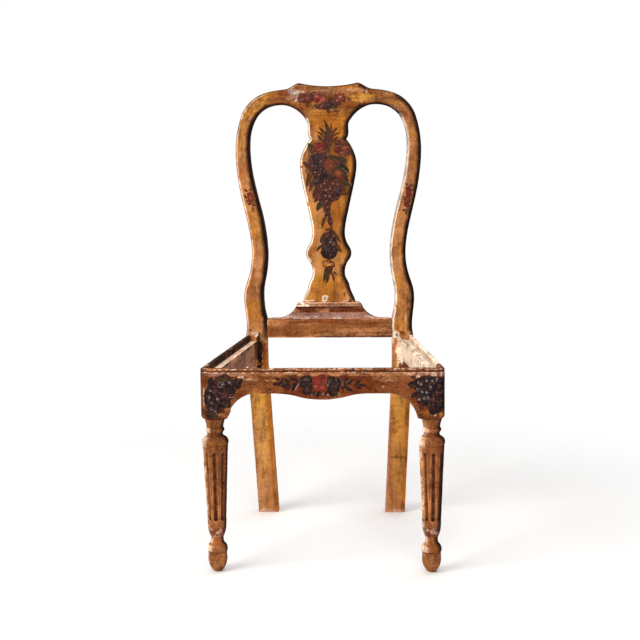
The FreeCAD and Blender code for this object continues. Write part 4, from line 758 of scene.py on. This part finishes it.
# Sawn edges: black where they face right, dark paint and painted shade together, and salmon where
# they face left, worn paint and painted light together; then legs below the seat and the plain rear
# side
walls = fade(0.6, 0.3, np.abs(back.normal[:, 1]))
lay(back, "black", walls * fade(0.2, 0.6, back.normal[:, 0]) * upper * 0.8)
lay(back, "salmon", walls * fade(0.3, 0.8, -back.normal[:, 0]) * fade(0.4, 0.55, wisps) * 0.6, 0.4)
low_post = face * fade(0.4, 0.37, z)
lay(back, "amber", low_post * right_way * fade(13.0, 5.0, away + ragged) * 0.8)
lay(back, "clay", low_post * left_way * fade(6.0, 3.0, away + ragged) * 0.6)
rear_side = fade(0.2, 0.7, back.normal[:, 1])
lay(back, "bark", rear_side * 0.85)
lay(back, "brown", rear_side * fade(0.45, 0.6, drift) * 0.6)
middle_x, _, middle_z = np.abs(back.middle).T
is_splat = (middle_x < SPLAT_REACH) & (middle_z < SPLAT_TOP)
is_crest = (middle_z >= POST_TOP) | ((middle_x < 0.1) & (middle_z >= SPLAT_TOP))
back_pieces = [
    new_piece("crest_rail_painted", back, ["crest_rail"], "ochre_paint", paint_level, is_crest),
    new_piece("back_splat_painted", back, ["back_splat"], "ochre_paint", paint_upright, is_splat),
    *both_sides("rear_post", back, "ochre_paint", paint_upright, ~is_splat & ~is_crest),
]

# The front: rail, brackets and legs grown together in the same way
rail_nodes = ["front_rail", "front_bracket_left", "front_bracket_right"]
rail_patches = [
    ("lilac", -200, 422, 40, 4, 0.7), ("lilac", 215, 421, 34, 5, 0.8),
    ("pink", 225, 421, 5, 4, 0.9), ("cream", 240, 420, 2, 5, 0.8), ("pink", 193, 415, 4, 4, 0.8),
    ("salmon", 128, 412, 26, 6, 0.6), ("salmon", -150, 412, 26, 5, 0.6),
    ("pink", -166, 414, 7, 3, 0.7), ("pink", -146, 411, 8, 2, 0.7),
    ("chalk", 123, 395, 2.5, 2.5, 0.9), ("amber", 208, 343, 7, 6, 0.8),
    ("pink", 227, 337, 6, 4, 0.7), ("honey", 240, 339, 6, 5, 0.7),
    ("pink", -240, 375, 1.2, 20, 0.8), ("salmon", -206, 338, 9, 3, 0.6),
    ("clay", -196, 334, 6, 6, 0.6), ("soot", -238, 345, 5, 12, 0.6),
    ("honey", -190, 350, 8, 8, 0.5), ("clay", -120, 395, 30, 10, 0.5),
    ("honey", -140, 388, 20, 8, 0.5), ("rust", 110, 395, 30, 10, 0.6),
    ("oxblood", 70, 412, 40, 6, 0.5), ("oxblood", -80, 380, 30, 6, 0.5),
    ("bark", -60, 413, 30, 5, 0.5), ("rust", 160, 392, 20, 10, 0.5),
    ("salmon", -100, 409, 14, 2.5, 0.6), ("pink", 176, 420, 8, 3, 0.6),
]
front = Skin(rail_nodes + ["front_leg_left", "front_leg_right"], FRONT_VOXEL, 7)
x, y, z = front.points.T
face = fade(0.1, -0.5, front.normal[:, 1])
wisps = front.rough(62, 191)
dashes = front.rough(70, 201, (1.0, 0.5, 3.2))
clouds(front, ["clay", "rust", "brown", "rust"], 26, 211, (0.6, 1.0, 1.0))
# Paler band under the lip, groove and lip
band = fade(0.4165, 0.4185, z) * fade(0.4265, 0.4255, z) * face
lay(front, "tan", band * fade(0.4, 0.54, wisps) * (np.abs(x) < 0.19) * 0.7)
lay(front, "salmon", band * fade(0.42, 0.54, dashes) * 0.5)
patch(front, rail_patches, 23)
groove = fade(0.4245, 0.4255, z) * fade(0.4285, 0.4272, z) * face
lay(front, "oxblood", groove * 0.85)
lip = fade(0.4272, 0.4282, z)
lay(front, "clay", lip * 0.85)
lay(front, "bark", lip * fade(0.45, 0.55, wisps) * 0.7)
lay(front, "soot", lip * fade(0.54, 0.6, front.rough(60, 205)) * 0.7)
# Chipped lines along the lip and the edge under it
forward = fade(0.3, -0.1, front.normal[:, 1])
wave = (front.rough(150, 207, (1.0, 0.0, 0.0)) - 0.5) * 4 * MM
dashes = front.rough(210, 209, (1.0, 0.5, 0.6))
chips = fade(1.3 * MM, 0.5 * MM, np.abs(z - LIP_Z + wave)) * forward * fade(0.46, 0.6, dashes)
lay(front, "pink", chips * 0.5, 0.5)
lay(front, "cream", chips * fade(0.54, 0.62, wisps) * 0.4, 0.7)
chips = fade(1.2 * MM, 0.5 * MM, np.abs(z - FACE_EDGE_Z + wave)) * face * fade(0.5, 0.62, dashes)
lay(front, "pink", chips * 0.85, 0.6)
# Painted shade on the faces that look down
under = fade(-0.2, -0.7, front.normal[:, 2]) * (z > 0.33)
lay(front, "soot", under * 0.7)

# Turned legs below the blocks: painted highlight with some worn gesso along the left of the
# outline, painted shade along the right
leg_side = np.where(x < 0, -1.0, 1.0)
offset = (x - leg_side * LEG_X) / MM
level = (z / (2 * MM)).astype(int)
low_leg = z < TURNING_TOP
reach = np.ones(len(z))
for number in np.unique(level[low_leg]):
    at = low_leg & (level == number)
    reach[at] = np.abs(offset[at]).max()
from_left = reach + offset
from_right = reach - offset
turned = low_leg * fade(0.35, 0.0, front.normal[:, 1])
ragged = (wisps - 0.5) * 5
lay(front, "tan", turned * 0.45)
lay(front, "rust", turned * fade(0.44, 0.56, front.rough(60, 221, (1, 1, 0.3))) * 0.4)
lay(front, "amber", turned * fade(0.5, 0.6, front.rough(70, 225, (1, 1, 0.3))) * 0.4)
# Darker in the hollows of the flutes, as painted shade
lay(front, "rust", turned * fade(0.1, -0.5, front.edge) * fade(0.08, 0.10, z) * 0.6)
lay(front, "honey", turned * fade(12.0, 6.0, from_left) * fade(0.3, 0.5, wisps) * 0.5)
lay(front, "salmon", turned * fade(8.0, 5.0, from_left + ragged) * fade(0.3, 0.5, dashes) * 0.6)
line = turned * fade(5.0, 2.6, from_left + ragged)
lay(front, "pink", line * fade(0.35, 0.5, dashes) * 0.85, 0.5)
reach = np.where(leg_side > 0, 1.4, 0.8)
lay(front, "soot", turned * fade(8.0, 4.0, (from_right + ragged) / reach) * 0.8)
lay(front, "black", turned * fade(4.0, 2.4, (from_right + ragged * 0.5) / reach) * 0.9)
# Painted highlight and worn gesso on the left of the rings
rings = np.zeros(len(z))
for low, high in ((0.296, 0.308), (0.268, 0.288), (0.044, 0.058)):
    rings += fade(low, low + 2 * MM, z) * fade(high, high - 2 * MM, z)
lay(front, "pink", turned * rings * fade(16.0, 8.0, from_left + ragged * 2) * 0.85, 0.6)
lay(front, "cream", turned * rings * fade(5.0, 3.0, from_left + ragged) * 0.8, 0.8)
# Foot, toe, and the ridges between the flutes made lighter as painted highlight
foot_cup = turned * fade(0.046, 0.042, z)
lay(front, "clay", foot_cup * 0.6)
lay(front, "tan", foot_cup * fade(0.46, 0.56, dashes) * 0.5)
lay(front, "oxblood", turned * fade(1.6 * MM, 0.6 * MM, np.abs(z - FOOT_LINE_Z)) * 0.8)
toe = fade(0.0745, 0.078, z) * fade(0.099, 0.093, z) * turned
lay(front, "oxblood", toe * 0.6)
toe = toe * fade(0.52, 0.6, front.rough(170, 233)) * fade(3.0, 9.0, from_right)
lay(front, "pink", toe * 0.45, 0.4)
ridge = fade(0.3, 0.7, front.edge) * fade(0.1, 0.12, z) * fade(0.268, 0.25, z) * turned
lay(front, "tan", ridge * fade(0.38, 0.5, wisps) * fade(4.0, 9.0, from_right) * 0.6)
is_leg = np.abs(front.middle[:, 0]) >= BLOCK_X
front_pieces = [
    new_piece("front_rail_painted", front, rail_nodes, "red_brown_paint", paint_brown, ~is_leg),
    *both_sides("front_leg", front, "red_brown_paint", paint_leg, is_leg),
]

# Side rails, rear rail and shoe, each a piece of its own


def side_rail_piece(word, side):
    """A side rail: brown inside on the left with painted shade in black on the lip, bare and pale
    on the right.
    """
    skin = Skin([f"side_rail_{word}"], RAIL_VOXEL, 31 if side < 0 else 37)
    x, y, z = skin.points.T
    run_in = (FRONT_HALF - REAR_HALF) / SEAT_DEPTH
    inset = ((FRONT_HALF * MM - run_in * (y - SEAT_FRONT_Y)) - np.abs(x)) / MM
    inward = fade(0.3, 0.7, -skin.normal[:, 0] * side)
    up = fade(0.5, 0.8, skin.normal[:, 2])
    wisps = skin.rough(70, 231 + side)
    blots = skin.rough(44, 241 + side, (1.0, 0.5, 1.0))
    on_ledge = up * fade(0.4245, 0.4225, z)
    lip_wall = inward * fade(LEDGE_Z, 0.4225, z)
    below = inward * fade(LEDGE_Z, 0.4195, z)
    lip_top = up * fade(0.4275, 0.4295, z)
    if side < 0:
        clouds(skin, ["salmon", "lilac", "tan"], 30, 251, (1.0, 0.5, 1.0))
        lay(skin, "lilac", np.full(len(x), 0.5))
        lay(skin, "bark", below * fade(0.55, 0.62, blots) * 0.5)
        lay(skin, "pink", on_ledge * 0.9, 0.7)
        lay(skin, "cream", on_ledge * fade(0.46, 0.58, wisps) * 0.5, 0.9)
        # Painted shade on the inner wall and top of the lip and on the ledge beside it
        shade = np.maximum(lip_wall, np.maximum(lip_top, fade(14.5, 13.0, inset) * on_ledge))
        lay(skin, "soot", shade)
        lay(skin, "black", shade * fade(0.44, 0.54, wisps) * 0.9)
        lay(skin, "clay", lip_top * fade(0.54, 0.6, blots) * 0.6)
        line = below * fade(0.4175, 0.4185, z) * fade(LEDGE_Z, 0.4205, z)
        lay(skin, "black", line * fade(0.42, 0.5, blots) * 0.7)
        lay(skin, "black", below * fade(0.413, 0.416, z) * fade(0.57, 0.6, wisps) * 0.9)
        # Painted shade at the back end of the inner face, by the post
        lay(skin, "soot", below * fade(0.118, 0.135, y + (wisps - 0.5) * 0.03) * 0.8)
    else:
        clouds(skin, ["cream", "pink", "cream"], 34, 261, (1.0, 0.5, 1.0))
        lay(skin, "pink", fade(0.35, 0.6, wisps) * 0.5)
        skin.bare[:] = 0.6
        line = on_ledge * fade(3.0, 1.5, np.abs(inset - 24))
        lay(skin, "bark", line * fade(0.48, 0.54, blots) * 0.5)
        lay(skin, "bark", lip_top * fade(2.6, 1.4, inset) * 0.9)
        lay(skin, "tan", lip_wall * fade(0.5, 0.56, blots) * 0.4)
        lay(skin, "bark", np.maximum(on_ledge, lip_top) * fade(0.61, 0.64, wisps) * 0.6)
        lay(skin, "clay", (on_ledge + lip_top) * fade(-0.235, -0.245, y) * fade(0.48, 0.54, wisps))
    outer = fade(0.3, 0.7, skin.normal[:, 0] * side)
    lay(skin, "clay", outer * 0.9)
    lay(skin, "rust", outer * fade(0.48, 0.6, blots) * 0.7)
    new_piece(f"side_rail_{word}_worn", skin, [f"side_rail_{word}"], "worn_rail_wood", wood_along)


for word, side in SIDES:
    side_rail_piece(word, side)

rear = Skin(["rear_rail"], RAIL_VOXEL, 51)
x, y, z = rear.points.T
clouds(rear, ["tan", "clay", "brown", "tan"], 40, 271, (0.15, 1.0, 2.0))
face = fade(0.1, -0.5, rear.normal[:, 1])
streaks = rear.rough(110, 281, (0.12, 1.0, 1.0))
lay(rear, "rust", face * fade(0.54, 0.64, streaks) * 0.6)
lay(rear, "soot", face * fade(0.4325, 0.431, z) * fade(-0.04, 0.0, x) * 0.7)
lay(rear, "brown", face * fade(0.455, 0.465, z) * fade(0.05, 0.12, x) * 0.6)
new_piece("rear_rail_worn", rear, ["rear_rail"], "worn_rail_wood", wood_across)

shoe = Skin(["splat_shoe"], RAIL_VOXEL, 57)
x, y, z = shoe.points.T
clouds(shoe, ["lilac", "salmon", "lilac"], 26, 291, (0.4, 1.0, 1.0))
face = fade(0.3, -0.3, shoe.normal[:, 1])
blots = shoe.rough(80, 301, (0.5, 1.0, 1.4))
lay(shoe, "lilac", fade(0.486, 0.482, z) * fade(0.4, 0.52, blots) * 0.6)
lay(shoe, "chalk", fade(0.479, 0.476, z) * fade(0.48, 0.56, blots) * 0.5, 0.4)
lay(shoe, "pink", fade(0.48, 0.47, z) * fade(0.09, 0.11, x) * 0.6, 0.4)
# Painted shade in the cove under the plate's overhang: rust and oxblood, with lighter salmon blots
cove = fade(0.4835, 0.487, z) * fade(0.5, 0.4985, z)
lay(shoe, "rust", cove)
lay(shoe, "oxblood", cove * fade(0.4, 0.55, blots) * 0.5)
lay(shoe, "salmon", cove * fade(0.46, 0.36, blots) * 0.6)
plate = fade(0.4985, 0.5, z)
lay(shoe, "tan", plate * 0.8)
lay(shoe, "clay", plate * fade(0.5, 0.58, blots) * 0.5)
lay(shoe, "bark", plate * 0.25)
line = plate * fade(2.2 * MM, 1.2 * MM, np.abs(np.abs(z - PLATE_Z) - PLATE_EDGE))
lay(shoe, "pink", line * 0.4, 0.5)
lay(shoe, "rust", plate * fade(0.503, 0.5, z) * face * 0.5)
lay(shoe, "cream", plate * fade(-0.042, -0.048, x) * fade(0.42, 0.5, blots), 0.8)
# Painted shade on the faces of the right end that look right
lay(shoe, "black", fade(0.2, 0.5, shoe.normal[:, 0]) * fade(0.03, 0.05, x) * fade(0.506, 0.502, z))
lay(shoe, "soot", fade(0.3, 0.6, -shoe.normal[:, 0]) * fade(0.5, 0.498, z) * 0.6)
new_piece("splat_shoe_worn", shoe, ["splat_shoe"], "worn_rail_wood", wood_across)

plain_wood = peg_wood()
for name in ("front_rail_pegs", "rear_rail_pegs", "side_rail_pegs", "crest_rail_pegs"):
    for slot in nodes[name].material_slots:
        slot.material = plain_wood


# Painted ornament: thin paint that follows the surface behind it


class Sheet:
    """Shapes painted over each other on a fine grid in the front view, in millimetres."""

    def __init__(self, seed, low_x, high_x, low_z, high_z):
        self.low = (low_x, low_z)
        self.x, self.z = np.meshgrid(np.arange(low_x, high_x, PAINT_STEP),
                                     np.arange(low_z, high_z, PAINT_STEP))
        depth = np.full(self.x.size, seed * 50.0)
        flat = np.column_stack([self.x.ravel(), depth, self.z.ravel()]) * MM
        self.ragged = ((rough_grain(flat, 300, seed) - 0.5) * 3.4).reshape(self.x.shape)
        self.mottle = rough_grain(flat, 420, seed + 3).reshape(self.x.shape)
        self.colour = np.zeros(self.x.shape + (3,))
        self.cover = np.zeros(self.x.shape)
        self.random = np.random.default_rng(seed)

    def window(self, xs, zs, margin):
        """The part of the grid around some places."""
        spans = []
        for axis, places in ((1, zs), (0, xs)):
            start = int((min(places) - margin - self.low[axis]) / PAINT_STEP)
            stop = int((max(places) + margin - self.low[axis]) / PAINT_STEP) + 2
            spans.append(slice(max(start, 0), max(stop, 0)))
        return tuple(spans)

    def dab(self, part, depth, tone, share, strength=1.0):
        """Lay a shape by its depth inside its border, from the rim colour to the middle one."""
        rim, core = (np.array(shade[:3]) for shade in tones[tone])
        ragged = self.ragged[part]
        cover = fade(-0.6, 0.8, depth + ragged * 0.5) * strength
        share = np.clip(share + (self.mottle[part] - 0.5) * 0.9, 0, 1)[..., None]
        wander = 1 + (self.random.random() - 0.5) * 0.3
        shade = (rim * (1 - share) + core * share) * wander
        self.colour[part] = self.colour[part] * (1 - cover[..., None]) + shade * cover[..., None]
        self.cover[part] = self.cover[part] * (1 - cover) + cover

    def leaf(self, tone, base_x, base_z, tip_x, tip_z, width):
        """A pointed leaf or petal with a slight bend, lighter along one side."""
        part = self.window((base_x, tip_x), (base_z, tip_z), width)
        run_x, run_z = tip_x - base_x, tip_z - base_z
        length = math.hypot(run_x, run_z)
        along = ((self.x[part] - base_x) * run_x + (self.z[part] - base_z) * run_z) / length
        across = ((self.z[part] - base_z) * run_x - (self.x[part] - base_x) * run_z) / length
        share = np.clip(along / length, 0, 1)
        across = across - self.random.uniform(-0.08, 0.08) * length * np.sin(math.pi * share)
        half = width / 2 * np.sin(math.pi * share ** 0.8) ** 0.75
        depth = half - np.hypot(across, along - share * length)
        self.dab(part, depth, tone, 0.15 + 0.75 * (across / width + 0.5) * (1 - 0.4 * share))

    def disc(self, tone, x, z, half_x, half_z, strength=1.0):
        """A round dab, lighter up and to the left."""
        part = self.window((x - half_x, x + half_x), (z - half_z, z + half_z), 1.5)
        off_x = (self.x[part] - x) / half_x
        off_z = (self.z[part] - z) / half_z
        reach = np.hypot(off_x, off_z)
        lit = 1 - np.hypot(off_x + 0.3, off_z - 0.3)
        self.dab(part, (1 - reach) * min(half_x, half_z), tone, lit, strength)

    def line(self, tone, width, *spots):
        """A brush stroke through points, thinner at both ends."""
        ends = np.array([spots[0], *spots, spots[-1]], dtype=float)
        path = []
        for number in range(len(spots) - 1):
            a, b, c, d = ends[number:number + 4]
            for step in range(5):
                t = step / 5
                path.append(0.5 * (2 * b + (c - a) * t + (2 * a - 5 * b + 4 * c - d) * t * t
                                   + (3 * b - a - 3 * c + d) * t ** 3))
        path = np.array(path + [ends[-1]])
        part = self.window(path[:, 0], path[:, 1], width)
        depth = np.full(self.x[part].shape, -9.0)
        for number, (x, z) in enumerate(path):
            half = width / 2 * (0.45 + 0.55 * math.sin(math.pi * (number + 1) / (len(path) + 1)))
            depth = np.maximum(depth, half - np.hypot(self.x[part] - x, self.z[part] - z))
        self.dab(part, depth, tone, 0.3 + depth / width)

    def depth_in(self, part, border):
        """Distance to a border, above zero inside it."""
        x, z = self.x[part], self.z[part]
        odd = np.zeros(x.shape, dtype=bool)
        nearest = np.full(x.shape, 1e3)
        for (x1, z1), (x2, z2) in zip(border, border[1:] + border[:1]):
            run = (x2 - x1) ** 2 + (z2 - z1) ** 2
            share = np.clip(((x - x1) * (x2 - x1) + (z - z1) * (z2 - z1)) / run, 0, 1)
            off_x, off_z = x - x1 - share * (x2 - x1), z - z1 - share * (z2 - z1)
            nearest = np.minimum(nearest, np.hypot(off_x, off_z))
            if z1 != z2:
                odd ^= ((z1 > z) != (z2 > z)) & (x < x1 + (z - z1) * (x2 - x1) / (z2 - z1))
        return np.where(odd, nearest, -nearest)

    def wash(self, tone, strength, *border):
        """A filled shape with a ragged border."""
        part = self.window(*zip(*border), 3)
        depth = self.depth_in(part, border) + self.ragged[part]
        self.dab(part, depth, tone, self.mottle[part] * 0.9, strength)

    def bunch(self, tone, radius, *border):
        """Berries packed inside a border, some with a soft lighter spot."""
        part = self.window(*zip(*border), 0)
        depth = self.depth_in(part, border)
        pitch = int(1.7 * radius / PAINT_STEP)
        for row in range(0, depth.shape[0], max(int(pitch * 0.87), 1)):
            for column in range((row % 2) * pitch // 2, depth.shape[1], pitch):
                if depth[row, column] < 0:
                    continue
                x = self.x[part][row, column] + self.random.uniform(-0.35, 0.35) * radius
                z = self.z[part][row, column] + self.random.uniform(-0.35, 0.35) * radius
                size = radius * self.random.uniform(0.8, 1.1)
                self.disc("night", x, z, size * 1.15, size * 1.15, 0.5)
                self.disc(tone, x, z, size, size, 0.75)
                if self.random.random() < 0.3:
                    self.disc("slate" if tone in ("grape", "sloe") else "rose", x - size * 0.25,
                              z + size * 0.3, size * 0.4, size * 0.35, 0.5)

    def build(self, name, tree, material, slot):
        """Lay the painted cells on the surface behind them."""
        shown = self.cover > 0.03
        shown[1:] |= shown[:-1]
        shown[:, 1:] |= shown[:, :-1]
        order = np.full(self.x.shape, -1)
        places, shades = [], []
        for row, column in np.argwhere(shown):
            start = Vector((self.x[row, column] * MM, -1.0, self.z[row, column] * MM))
            hit, normal, _, _ = tree.ray_cast(start, Vector((0, 1, 0)))
            if hit is None or normal.y > -0.25:
                continue
            order[row, column] = len(places)
            places.append(tuple(hit + normal * (0.2 * MM)))
            cover = self.cover[row, column]
            shades.append(tuple(self.colour[row, column] / max(cover, 0.02)) + (cover,))
        quads = np.stack([order[:-1, :-1], order[:-1, 1:], order[1:, 1:], order[1:, :-1]], axis=-1)
        quads = quads.reshape(-1, 4)
        quads = quads[(quads >= 0).all(axis=1)]
        mesh = bpy.data.meshes.new(name)
        mesh.from_pydata(places, [], quads.tolist())
        layer = mesh.color_attributes.new("paint", "FLOAT_COLOR", "POINT")
        layer.data.foreach_set("color", np.array(shades, dtype=np.float32).ravel())
        mesh.polygons.foreach_set("use_smooth", [True] * len(quads))
        placed(name, mesh, material, slot)


def tree_of(pieces):
    """Search tree over several pieces."""
    points, faces = [], []
    for piece in pieces:
        start = len(points)
        points.extend(vertex.co[:] for vertex in piece.data.vertices)
        for face in piece.data.polygons:
            faces.append(tuple(corner + start for corner in face.vertices))
    return BVHTree.FromPolygons(points, faces)


def ornament_paint():
    """Brushed colour from the shapes, mottled and worn through in places."""
    graph = Graph("ornament_paint")
    colour = graph.colours("paint")
    mottle = graph.noise(150.0, 3.0)
    fine = graph.noise(520.0, 2.0)
    shade = graph.mix(graph.times(graph.fade(mottle, 0.46, 0.66), 0.25), colour["Color"],
                      tint(128, 84, 60))
    shade = graph.mix(graph.times(graph.fade(fine, 0.54, 0.7), 0.3), shade, tint(26, 16, 14))
    worn = graph.sums("MAXIMUM", graph.times(graph.fade(graph.noise(85.0, 4.0), 0.66, 0.72), 0.7),
                      graph.times(graph.fade(fine, 0.68, 0.74), 0.5))
    alpha = graph.times(colour["Alpha"], graph.sums("SUBTRACT", 1.0, worn))
    return graph.surface(shade, graph.plus(graph.times(mottle, 0.3), 0.35), mottle, 0.35,
                         0.3 * MM, alpha)


ornament_material = ornament_paint()
back_tree = tree_of(back_pieces)
front_tree = tree_of(front_pieces)
# Name, shapes, seed and the sheet's reach: left, right, bottom, top
back_ornaments = [
    ("splat_garland", splat_garland, 5, -66, 66, 545, 926),
    ("crest_roses", crest_roses, 6, -80, 62, 928, 986),
    ("stile_sprig_left", stile_sprigs, 7, -205, -155, 692, 775),
    ("stile_sprig_right", stile_sprigs, 8, 155, 205, 700, 785),
]
front_ornaments = [
    ("rail_flowers", rail_flowers, 9, -105, 95, 366, 424),
    ("left_block_grapes", left_block_grapes, 10, -249, -155, 325, 424),
    ("right_block_grapes", right_block_grapes, 11, 165, 249, 330, 421),
]
for ornaments, tree, slot in ((back_ornaments, back_tree, "ochre_paint"),
                              (front_ornaments, front_tree, "red_brown_paint")):
    for name, shapes, *reach in ornaments:
        sheet = Sheet(*reach)
        for row in shapes:
            if isinstance(row, str):
                kind, tone = row.split()
            else:
                getattr(sheet, kind)(tone, *row)
        sheet.build(name, tree, ornament_material, slot)


# Camera, light and floor

camera_data = bpy.data.cameras.new("camera")
camera_data.sensor_width = 36.0
camera_data.lens = 80.03
camera = bpy.data.objects.new("camera", camera_data)
bpy.context.scene.collection.objects.link(camera)
camera_place = Vector((0.12535, -3.06669, 0.97132))
camera_aim = Vector((-0.01148, -0.0535, 0.50060))
camera_roll = math.radians(-0.64)
turn = (camera_aim - camera_place).to_track_quat("-Z", "Y").to_matrix().to_4x4()
camera.matrix_world = Matrix.Translation(camera_place) @ turn @ Matrix.Rotation(camera_roll, 4, "Z")
bpy.context.scene.camera = camera


def lamp(name, place, aim, size, power, colour):
    """A square soft light."""
    data = bpy.data.lights.new(name, "AREA")
    data.size = size
    data.energy = power
    data.color = colour
    light = bpy.data.objects.new(name, data)
    bpy.context.scene.collection.objects.link(light)
    light.location = place
    light.rotation_euler = (Vector(aim) - Vector(place)).to_track_quat("-Z", "Y").to_euler()


lamp("key", (-2.4, -1.9, 2.3), (0, 0, 0.5), 2.2, 92.0, (1.0, 0.96, 0.92))
lamp("front", (0.5, -3.6, 1.9), (0, 0, 0.5), 2.4, 70.0, (1.0, 0.97, 0.94))
lamp("overhead", (0.3, 0.6, 3.4), (0, 0, 0), 3.0, 60.0, (0.97, 0.98, 1.0))

world = bpy.data.worlds.new("world")
bpy.context.scene.world = world
world.use_nodes = True
world_nodes = world.node_tree.nodes
world_links = world.node_tree.links
world_nodes.clear()
choice = world_nodes.new("ShaderNodeMixShader")
output = world_nodes.new("ShaderNodeOutputWorld")
path = world_nodes.new("ShaderNodeLightPath")
world_links.new(path.outputs["Is Camera Ray"], choice.inputs[0])
world_links.new(choice.outputs[0], output.inputs["Surface"])
# What the chair is lit by, then what the camera sees
for number, (colour, strength) in enumerate([((1.0, 0.98, 0.95, 1.0), 0.3), ((1.0,) * 4, 1.0)], 1):
    background = world_nodes.new("ShaderNodeBackground")
    background.inputs["Color"].default_value = colour
    background.inputs["Strength"].default_value = strength
    world_links.new(background.outputs[0], choice.inputs[number])

bpy.ops.mesh.primitive_circle_add(vertices=96, radius=2.6, fill_type="NGON",
                                  location=(0, 0, -0.0004))
floor = bpy.context.object
floor.name = "floor"
graph = Graph("floor")
length = graph.node("VectorMath", {0: graph.spot}, operation="LENGTH")["Value"]
plain = graph.node("BsdfDiffuse", {"Color": (0.96, 0.96, 0.96, 1.0)})[0]
clear = graph.node("BsdfTransparent", {})[0]
blend = graph.node("MixShader", {0: graph.fade(length, 0.55, 1.3), 1: plain, 2: clear})[0]
graph.node("OutputMaterial", {"Surface": blend})
floor.data.materials.append(graph.material)

bpy.context.scene.view_settings.view_transform = "Standard"
